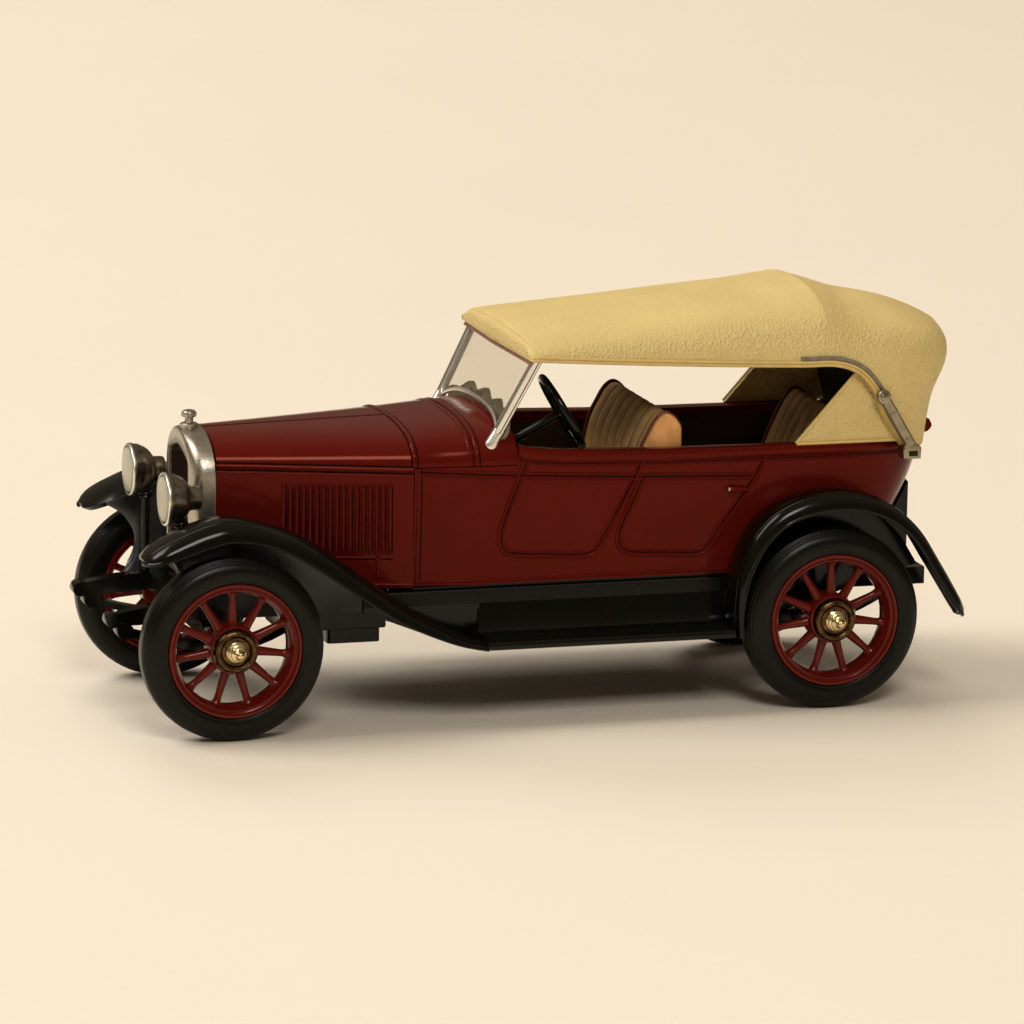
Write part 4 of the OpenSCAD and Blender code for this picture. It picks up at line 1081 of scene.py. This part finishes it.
rail_section = [(.0, -1.1), (.2, -1.05), (.34, -.8), (.36, -.4), (.28, -.08), (.08, .1), (-.3, .16),
                (-1.2, .14), (-1.55, .02), (-1.7, -.3), (-1.7, -1.0)]
left_rail = [on_tub(x, edge_h(x)) for x in by_rail]
path = left_rail + [on_tub(turn, rail_h) for turn in tail_turns[1:-1]]
path += [p * (1, -1, 1) for p in reversed(left_rail)]
outs = [np.array((0.0, 1, 0))] * len(by_rail) + [tail_out(turn) for turn in tail_turns[1:-1]]
outs += [np.array((0.0, -1, 0))] * len(by_rail)
tub.add(banded(rail_section, path, outs))
tub.make("body_tub_dress", replaces=["body_tub"])

# %% [markdown]
# At the tail a small upright lip stands on the tub, where the lowered top would rest, and under it
# hangs the black fuel tank. Both are plain castings with rounded edges. Their places and sizes come
# straight from the frame, and only their edges and their finish are added.

# %% Tail and tank
lip_low, lip_high = box_mm("tail_roll")
lip = Piece(paint)
lip_section = [(lip_low[0] + 3.6, 17.45), (lip_low[0] + 1.0, 17.5), (lip_low[0] + .5, 17.7),
               (lip_low[0] + .2, 18.2), (lip_low[0] + .04, 18.7), (lip_low[0], lip_high[2] - tyre_r - .3),
               (lip_low[0] + .12, lip_high[2] - tyre_r - .05), (lip_low[0] + .4, lip_high[2] - tyre_r),
               (lip_low[0] + .68, lip_high[2] - tyre_r - .08), (lip_low[0] + .8, 18.6),
               (lip_low[0] + 1.05, 18.2), (lip_low[0] + 1.4, 18.0), (lip_low[0] + 3.6, 17.95)]
lip_half = (lip_high[1] - lip_low[1]) / 2
lip.add(ring_skin([[(x, y, up(mix(17.7, h, k))) for x, h in lip_section]
                   for y, k in [(-lip_half, .55), (-lip_half + .15, .8), (-lip_half + .5, 1)]
                   + [(y, 1) for y in np.linspace(-lip_half + .8, lip_half - .8, 12)]
                   + [(lip_half - .5, 1), (lip_half - .15, .8), (lip_half, .55)]]))
lip.make("tail_roll_dress", replaces=["tail_roll"])


def dress_plain(name, wears, width, segments):
    """Closes a CAD node's seams, rounds its sharp edges and gives it its finish, where it stands."""
    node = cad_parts[name]
    weld = node.modifiers.new("weld", "WELD")
    weld.merge_threshold = 1e-6
    bevel = node.modifiers.new("soft_edge", "BEVEL")
    bevel.width = width * MM
    bevel.segments = segments
    bevel.limit_method = "ANGLE"
    bevel.angle_limit = math.radians(35)
    bevel.use_clamp_overlap = True
    node.data.materials.clear()
    node.data.materials.append(wears)


dress_plain("rear_trunk", black, 0.5, 3)

# %% [markdown]
# The windscreen is a plated brass frame on the real car: two flat posts with a fine groove, a thin rail
# along the top and another that follows the scuttle. It is drawn upright as a flat outline and then
# leaned back as one, which is also how the glazier would have made it. Below the glass hangs a wavy
# leather apron that keeps out the draught.

# %% Windscreen
lean = math.radians(27.4)
post_foot_y, post_top_y, screen_rise = 11.7, 12.6, 9.3


def on_screen(out, y, rise):
    """A point of the leaned screen: out of its plane, across, and up its slope."""
    return (screen_x - .45 + out * math.cos(lean) - rise * math.sin(lean), y,
            up(20.6 + out * math.sin(lean) + rise * math.cos(lean)))


def screen_side(rise):
    """How far out a post's outer face stands, some way up its slope."""
    return mix(post_foot_y, post_top_y, rise / screen_rise)


def screen_foot(y):
    """Where the screen meets the scuttle, as a distance up its slope."""
    flat = max(0.0, 1 - (abs(y) / 12.3) ** fullness) ** (1 / fullness)
    return (-2.68 + flat * (scuttle_top(screen_x - 1.5) - spring_h)) / math.cos(lean)


screen = Piece(plated, groove_shade)
post = [(0, .14), (.02, .04), (.14, 0), (1.1, 0), (1.23, .04), (1.25, .14), (1.25, .78), (1.15, .9), (.1, .9),
        (0, .78)]
rises = np.linspace(-.9, screen_rise, 20)
screen.add(ring_skin([[on_screen(.9 - out, screen_side(v) - across, v) for across, out in post]
                      for v in rises]))
# The groove down each post and the line along its side are dark beads of painted shade, standing for the
# shadow in the groove.
groove = [on_screen(.9, screen_side(v) - .45, v) for v in rises[1:]]
screen.add(bead(groove, (math.cos(lean), 0, math.sin(lean)), 0.1, 0.03, 5), 1)
line = [on_screen(.35, screen_side(v), v) for v in rises[2:]]
screen.add(bead(line, (0, 1, 0), 0.12, 0.03, 5), 1)
foot_rises = [-1.75, -1.72, -1.6, -1.35, -1.0, -.6, 0, .8]
foot_girths = [.15, .4, .62, .74, .74, .68, .62, .5]
screen.add(tube([on_screen(.46, post_foot_y - .5 + .04 * v, v) for v in foot_rises], foot_girths, 16))
screen.add(tube([on_screen(.5, post_top_y - .6, screen_rise + v) for v in (0, .35)], [.55, .4], 12))
screen.mirror()
top_rail = [on_screen(.45, y, screen_rise - .3) for y in np.linspace(-12, 12, 25)]
screen.add(tube(top_rail, .33, 10))
low_ys = np.linspace(-11.2, 11.2, 60)
screen.add(tube([on_screen(.45, y, screen_foot(y) + .35) for y in low_ys], .26, 10))
screen.make("windscreen_frame_dress", replaces=["windscreen_frame"])

pane = Piece(glass)
pane_ys = np.linspace(-11.3, 11.3, 61)
pane_rows = [[on_screen(.62, y * mix(1, 1.06, k / 12), mix(screen_foot(y) + .2, screen_rise - .1, k / 12))
              for y in pane_ys] for k in range(13)]
pane.add_sheet(pane_rows, signed(0.3, pane_rows, 6, 30, 0))
pane.make("windscreen_glass_dress", replaces=["windscreen_glass"])

apron_leather = finish("apron_leather", (0.2, 0.165, 0.1), 0.5, drift=0.18, drift_size=2, gloss_drift=0.08,
                       bump=0.05, bump_size=0.35, grain="leather")
apron = Piece(apron_leather)
apron_ys = np.linspace(-11.1, 11.1, 121)
apron_rows = [[on_screen(-.12 - .25 * math.sin(math.pi * k / 8), y,
                         mix(screen_foot(y) - .2, screen_foot(y) + 1.25 + .4 * math.cos(y * 1.15), k / 8))
               for y in apron_ys] for k in range(9)]
apron.add_sheet(apron_rows, signed(0.4, apron_rows, 4, 60, 0))
apron.make("screen_apron_dress", replaces=["screen_apron"])

# %% [markdown]
# The top is the largest light surface on the car. Real ones were rubbered cloth stretched over bent ash
# bows, but here it is one stiff moulding with a leather grain, so it is built as a thin rigid skin. The
# ribs below give its shape. A curve runs through them from front to back, and each rib is a bent bow: flat
# across the crown, turning quickly down at the sides.

# %% Soft top
hem_x = cowl_back_x - .9
cloth = 0.7
ribs = [
    [(hem_x - .2, 12.9, hem_h + .05), (hem_x + .05, 12.7, hem_h + .25), (hem_x + .45, 0, hem_h + .3)],
    [(hem_x - .3, 13.25, hem_h), (hem_x - .05, 13.3, hem_h + .9), (hem_x + .5, 0, hem_h + 1.0)],
    [(hem_x - .6, 13.45, hem_h), (hem_x - .5, 13.5, hem_h + 1.75), (hem_x + .05, 0, hem_h + 2.1)],
    [(hem_x - 2.2, 13.5, hem_h - .1), (hem_x - 2.2, 13.55, hem_h + 2.35), (hem_x - 2.2, 0, 32.0)],
    [(screen_x - 16, 13.5, hem_h - .8), (screen_x - 17, 13.4, 32.7), (screen_x - 18, 0, 33.3)],
    [(rear_x + 10, 13.5, hem_h - 1.4), (rear_x + 7, 13.3, 34), (rear_x + 7, 0, 34.5)],
    [(rear_x + 3, 13.5, hem_h - 1.7), (rear_x, 13.2, 34.65), (rear_x, 0, 35.1)],
    [(rear_x - .8, 13.5, hem_h - 1.8), (rear_x - 4.5, 13.1, 33), (rear_x - 5, 0, 33.95)],
    [(rear_x - 3.4, 13.5, hem_h - 2.7), (rear_x - 9.7, 12.9, 31.75), (rear_x - 10.8, 0, 32.65)],
    [(rear_x - 5.3, 13.5, hem_h - 4.8), (rear_x - 14.4, 12.3, 29.75), (rear_x - 15.7, 0, 30.6)],
    [(rear_x - 6.4, 13.5, hem_h - 7.2), (rear_x - 15.8, 11.6, 27.3), (rear_x - 17.3, 0, 28.7)],
    [(rear_x - 7.8, 13.2, hem_h - 9.4), (rear_x - 13.9, 11.4, 23.3), (rear_x - 15.65, 0, 23.7)],
    [(rear_x - 9.4, 13.2, 17.8), (rear_x - 12.7, 11.2, 17.8), (rear_x - 14.8, 0, 17.8)],
]
lines = np.stack([curve([rib[k] for rib in ribs], 20 * (len(ribs) - 1)) for k in range(3)], axis=1)
across = np.linspace(0, 1, 29) ** 1.15
rows = []
for number, (hem, corner, middle) in enumerate(lines):
    tight = ease((number / 20 - 7.2) / 1.6)
    b, c = mix(hem, corner, .85 + .09 * tight), mix(middle, corner, .72 + .14 * tight)
    half = [hem * (1 - t) ** 3 + 3 * b * t * (1 - t) ** 2 + 3 * c * t * t * (1 - t) + middle * t**3
            for t in across]
    rows.append(half + [p * (1, -1, 1) for p in reversed(half[:-1])])
rows = np.array(rows)
rows[:, :, 2] += tyre_r
bow_x = along(-33.7)
fade = np.clip((rows[:, :, 2] - up(30.2)) / 2.0, 0, 1)
slack = np.abs(rows[:, :, 0] - bow_x)
rows[:, :, 2] += fade * (0.3 * np.exp(-slack / 0.9) - 0.07 * np.exp(-((slack - 5) / 3.2) ** 2))
hood = Piece(hood_tan, lining, hem_tan, hem_grey, header_brown)
hood.add_sheet(rows, signed(cloth, rows, 100, 28, 2), 0, 1, 2)
for column, side in ((0, 1), (-1, -1)):
    edge = rows[30:, column]
    inner = np.cross(unit(np.gradient(edge, axis=0)), (0, side, 0)) * -side
    for by, girth in ((.2, .2), (.55, .17)):
        hood.add(tube(edge + inner * by + (0, side * .03, 0), girth, 8), 2)
    worn = (edge[:, 0] < along(-30.2)) & (edge[:, 0] > rear_x - 6.4)
    strip = edge[worn] + inner[worn] * .98 + (0, side * .06, 0)
    hood.add(bead(strip, (0, side, 0), 0.42, 0.09, 7), 3)
under = rows[3][2:-2] - (.3, 0, .1)
rail_at = np.array([on_screen(.35, np.clip(p[1] * .93, -12, 12), screen_rise - .35) for p in under])
header = [mix(under, rail_at, k / 5) for k in range(6)]
hood.add_sheet(header, 0.5, 4, 4, 4)
hood.make("soft_top_dress", replaces=["soft_top"], sharp=60)

# %% [markdown]
# The quarter panels are stiff side curtains with a piped edge, let in between the top and the body.
# Over each lies a landau iron, the flat jointed bar that held a folding top taut. It ends in a round
# knuckle above and a bracket below, and the bar is thin and dull plated.

# %% Quarter panels and landau irons
corners_xh = [(rear_x - 3.5, hem_h - 2.7), (rear_x + 3.3, 18.8), (rear_x - 8.6, 18.8),
              (rear_x - 7.3, hem_h - 4.9)]
outline = []
for (x0, h0), (x1, h1) in zip(corners_xh, corners_xh[1:] + corners_xh[:1]):
    outline += [(mix(x0, x1, k / 10), mix(h0, h1, k / 10)) for k in range(10)]
curtains = Piece(hood_tan, hem_tan)
curtains.add(plate(outline, lambda x, h, d: (x, 11.95 + d, up(h)), 0.6, 0.15))
for (x0, h0), (x1, h1) in zip(corners_xh[:2], corners_xh[1:3]):
    line = [(mix(x0, x1, t), 12.55, up(mix(h0, h1, t))) for t in np.linspace(0.01, 0.99, 14)]
    curtains.add(tube(line, .2, 8), 1)
    line = [(mix(x0, x1, t) - .38, 12.55, up(mix(h0, h1, t) + .3)) for t in np.linspace(0.03, 0.93, 14)]
    curtains.add(tube(line, .11, 6), 1)
curtains.mirror()
curtains.make("quarter_panels_dress", replaces=["quarter_panels"])

iron = finish("landau_plate", (0.36, 0.31, 0.22), 0.33, metal=1, drift=0.2, drift_size=1.2,
              gloss_drift=0.1, bump=0.02, bump_size=0.4)
irons = Piece(iron, black)
knuckle, foot = np.array((rear_x - 6.2, 0, up(hem_h - 5.2))), np.array((rear_x - 9.5, 0, up(18.4)))
down = (foot - knuckle) / np.linalg.norm(foot - knuckle)
wide = np.array((-down[2], 0, down[0]))
bar = [(-.6, .12), (-.5, 0), (.5, 0), (.6, .12), (.6, .42), (.42, .6), (-.42, .6), (-.6, .42)]
irons.add(ring_skin([[knuckle + down * s + wide * w + (0, 13.75 + d, 0) for w, d in bar]
                     for s in np.linspace(.2, np.linalg.norm(foot - knuckle), 16)]))
knob = [(0, -.05), (.78, -.05), (.85, .1), (.85, .45), (.7, .68), (.45, .74), (.4, .86), (.2, .92), (0, .94)]
irons.add(turned(knob, lambda a, b, d: (knuckle[0] + a, 13.7 + d, knuckle[2] + b), 32))
for s in (2.2, 5.6):
    at = knuckle + down * s
    irons.add(turned([(0, .5), (.3, .5), (.28, .68), (0, .72)],
                     lambda a, b, d, at=at: (at[0] + a, 13.75 + d, at[2] + b), 18))
block = [(foot[0] - 1.15, 16.9), (foot[0] + .85, 16.9), (foot[0] + .95, 17.9), (foot[0] + .6, 18.5),
         (foot[0] - .9, 18.5), (foot[0] - 1.2, 18.1)]
irons.add(plate(block, lambda x, h, d: (x, 12.35 + d, up(h)), 1.98, 0.15))
# A thin black patch on the bracket's face is painted shade, standing for the shadow in a recess there.
recess_shade = [(foot[0] - .75, 17.2), (foot[0] + .25, 17.2), (foot[0] + .3, 17.8), (foot[0] - .75, 17.8)]
irons.add(plate(recess_shade, lambda x, h, d: (x, 14.3 + d, up(h)), 0.06, 0.02), 1)
irons.mirror()
irons.make("landau_irons_dress", replaces=["landau_irons"])

# %% [markdown]
# Inside are two benches. Each back is pleated, with a roll over the top and a plain rounded panel at
# the end, and every seam was piped. On the model the pleats are shallow waves and the piping is a
# painted line, so a wave runs across the back's skin and a fine tube lies in each hollow.

# %% Seats


def bench(name, back_x, top, half):
    """One bench: a waved back rolling over its top, two end panels, and a waved cushion."""
    seat = Piece(seat_tan, seat_end, piping_red, cabin_brown)
    shape = [(back_x + 2.9, 12.45), (back_x + 2.1, 14.6), (back_x + 1.2, top - 4), (back_x + .2, top - 1.9),
             (back_x - .6, top - .6), (back_x - 1.5, top), (back_x - 2.4, top - .4),
             (back_x - 3.1, top - 1.3), (back_x - 3.3, top - 2.4), (back_x - 3.3, 12.4)]
    line = even(curve(shape, 60), .3)
    run = unit(np.gradient(line, axis=0))
    out = np.stack([-run[:, 1], run[:, 0]], axis=1)
    if out[len(out) // 3, 0] < 0:
        out = -out
    inner = half - .75
    pleats = 8
    pleat = 2 * inner / pleats
    ys = np.linspace(-inner, inner, 145)
    wave = -0.42 * (1 - np.abs(np.sin(np.pi * (ys + inner) / pleat)) ** 0.6)
    skin = [[(p[0] + o[0] * w, y, up(p[1] + o[1] * w)) for y, w in zip(ys, wave)]
            for p, o in zip(line, out)]
    seat.add_sheet(skin, signed(1.2, skin, 12, 70, 0), 0, 3, 0)
    for k in range(pleats + 1):
        y = -inner + pleat * k
        seat.add(tube([(p[0] - o[0] * .36, y, up(p[1] - o[1] * .36)) for p, o in zip(line, out)], .13, 6), 2)
    outline = [tuple(p) for p in line]
    for side in (1, -1):
        seat.add(plate(outline, lambda x, h, d, side=side: (x, side * (half - .8 + d), up(h)), .8, .35), 1)
        rim = [(p[0] + o[0] * .02, side * (half - .8), up(p[1] + o[1] * .02)) for p, o in zip(line, out)]
        seat.add(tube(rim, .2, 8), 2)
    cushion = [(back_x - .2, 12.2), (back_x + 2.6, 12.42), (back_x + 5, 12.5), (back_x + 8, 12.4),
               (back_x + 8.8, 12.0), (back_x + 9, 11), (back_x + 8.8, 9.6)]
    pad = even(curve(cushion, 40), .3)
    rows = [[(p[0], y, up(p[1] + w * .8)) for y, w in zip(ys, wave)] for p in pad]
    seat.add_sheet(rows, signed(1.0, rows, 8, 70, 2), 0, 3, 0)
    for side in (1, -1):
        box = [(back_x - 2.6, 5.7), (back_x + 8.4, 5.7), (back_x + 8.7, 11), (back_x + 8.2, 12.1),
               (back_x - 2.6, 12.2)]
        seat.add(plate(box, lambda x, h, d, side=side: (x, side * (half - .8 + d), up(h)), .7, .3), 1)
    riser = [(back_x - 2.2, 5.7), (back_x + 8.0, 5.7), (back_x + 8.2, 10), (back_x - 2.2, 10)]
    seat.add(plate(riser, lambda x, h, d: (x, -half + .9 + d, up(h)), 2 * half - 1.8, .2), 3)
    seat.make(name + "_dress", replaces=[name], sharp=45)


bench("front_seat", mid_x - 14.75, 22.3, 10.3)
bench("rear_seat", rear_x - 2.4, 20.8, 9.6)

# %% [markdown]
# The steering wheel is a thin black ring on four spokes, its column leaning up from the floor towards
# the driver. A round bar swept round the ring, and four thin ones inside it, give the same look as the
# small casting. The finger side of the real rim is scalloped, but at this size it is smooth.

# %% Steering wheel
hub_at = np.array((screen_x - 9.1, 6.0, up(22.1)))
axle = np.array((-0.862, 0.09, 0.498))
side_b = np.array((0.5, 0, 0.866))
side_a = np.cross(side_b, axle)
steering = Piece(black)
ring = [[hub_at + (4.3 + .45 * math.cos(t)) * (math.cos(a) * side_a + math.sin(a) * side_b)
         + .45 * math.sin(t) * axle for t in np.linspace(0, 2 * math.pi, 12, endpoint=False)]
        for a in np.linspace(0, 2 * math.pi, 72, endpoint=False)]
steering.add(grid(ring, True, True))
for k in range(4):
    a = math.radians(45 + 90 * k)
    tip = hub_at + 4.25 * (math.cos(a) * side_a + math.sin(a) * side_b)
    steering.add(tube([hub_at - .3 * axle, mix(hub_at - .2 * axle, tip, .5), tip], [.3, .2, .24], 10))
steering.add(tube([hub_at + .35 * axle, hub_at + .1 * axle, hub_at - .5 * axle], [.5, .75, .7], 20))
steering.add(tube([hub_at, hub_at - 8 * axle], .48, 14))
steering.make("steering_wheel_dress", replaces=["steering_wheel"])

# %% [markdown]
# What is left is plain in the real thing too: the chassis, springs, axles and sump below, and the floor
# and dashboard inside. These keep their CAD shapes. A small rounding on their edges lets them catch the
# light, and each wears the finish of the real piece.

# %% Plain pieces
for name, wears, width in (("frame", black, .12), ("front_springs", black, .1), ("rear_springs", black, .1),
                           ("sump", black, .3), ("front_axle", black, .12), ("rear_axle", black, .12),
                           ("floor", cabin_brown, .1), ("dashboard", cabin_brown, .15)):
    dress_plain(name, wears, width, 2)
print("dressed", len(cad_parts), "nodes")

# %% [markdown]
# The setting is a plain warm studio: a pale floor that runs far back, a large soft key above the left
# of the view, a smaller fill from the near side, and a third light that only evens the floor behind.
# A gentle dome is bright overhead and dim at the horizon, so that dark gloss stays dark.

# %% Floor, light and camera
card = finish("pale_card", (0.87, 0.79, 0.672), 0.75, drift=0.012, drift_size=160, gloss_drift=0.03,
              bump=0.02, bump_size=1.5, specular=0.15)
floor_mesh = bpy.data.meshes.new("studio_floor")
floor_rows = [[(x, y, 0) for x in np.linspace(-3000, 3000, 13)] for y in np.linspace(-3000, 3000, 13)]
verts, faces = grid(floor_rows)
floor_mesh.from_pydata([tuple(v * MM) for v in verts], [], faces)
floor_mesh.materials.append(card)
studio_floor = bpy.data.objects.new("studio_floor", floor_mesh)
scene.collection.objects.link(studio_floor)

world = bpy.data.worlds.new("studio")
scene.world = world
world.use_nodes = True
nodes, links = world.node_tree.nodes, world.node_tree.links
direction = nodes.new("ShaderNodeTexCoord")
parts = nodes.new("ShaderNodeSeparateXYZ")
dome = nodes.new("ShaderNodeValToRGB")
for position, colour in ((0.0, (.1, .08, .055, 1)), (1.0, (.36, .3, .22, 1))):
    dome.color_ramp.elements[int(position)].position = position
    dome.color_ramp.elements[int(position)].color = colour
dome.color_ramp.elements.new(0.4).color = (.22, .18, .13, 1)
links.new(direction.outputs["Generated"], parts.inputs["Vector"])
links.new(parts.outputs["Z"], dome.inputs["Fac"])
links.new(dome.outputs["Color"], nodes["Background"].inputs["Color"])
nodes["Background"].inputs["Strength"].default_value = 1.0


def soft_light(name, place, aim, size, power, colour, shines=True):
    """A square soft light at a place, turned to what it lights."""
    data = bpy.data.lights.new(name, "AREA")
    data.shape = "SQUARE"
    data.size = size * MM
    data.energy = power
    data.color = colour
    lamp = bpy.data.objects.new(name, data)
    scene.collection.objects.link(lamp)
    lamp.location = [c * MM for c in place]
    lamp.visible_glossy = shines
    lamp.rotation_euler = (Vector(aim) - Vector(place)).to_track_quat("-Z", "Y").to_euler()


soft_light("key", (900, -250, 1150), (0, 0, 20), 800, 13.6, (1.0, 0.955, 0.88))
soft_light("fill", (150, 1150, 1100), (0, 0, 20), 480, 8.6, (1.0, 0.96, 0.9))
soft_light("backdrop", (0, -1150, 1100), (0, -650, 0), 700, 6.6, (1.0, 0.96, 0.9), shines=False)

eye = Vector((mid_x + 193.3, 644.34, 161.43)) * MM
aim = Vector((mid_x - 1.963, 0, 19.923)) * MM
roll = Matrix.Rotation(math.radians(0.89), 4, "Z")
turn = (aim - eye).to_track_quat("-Z", "Y").to_matrix().to_4x4() @ roll
lens_data = bpy.data.cameras.new("view")
lens_data.lens = 220.1
lens_data.sensor_width = 36
lens_data.clip_start = 0.01
camera = bpy.data.objects.new("view", lens_data)
scene.collection.objects.link(camera)
camera.matrix_world = Matrix.Translation(eye) @ turn
scene.camera = camera
scene.view_settings.view_transform = "Standard"
print(f"camera {(aim - eye).length / MM:.0f} mm away, {len(bpy.data.lights)} soft lights")
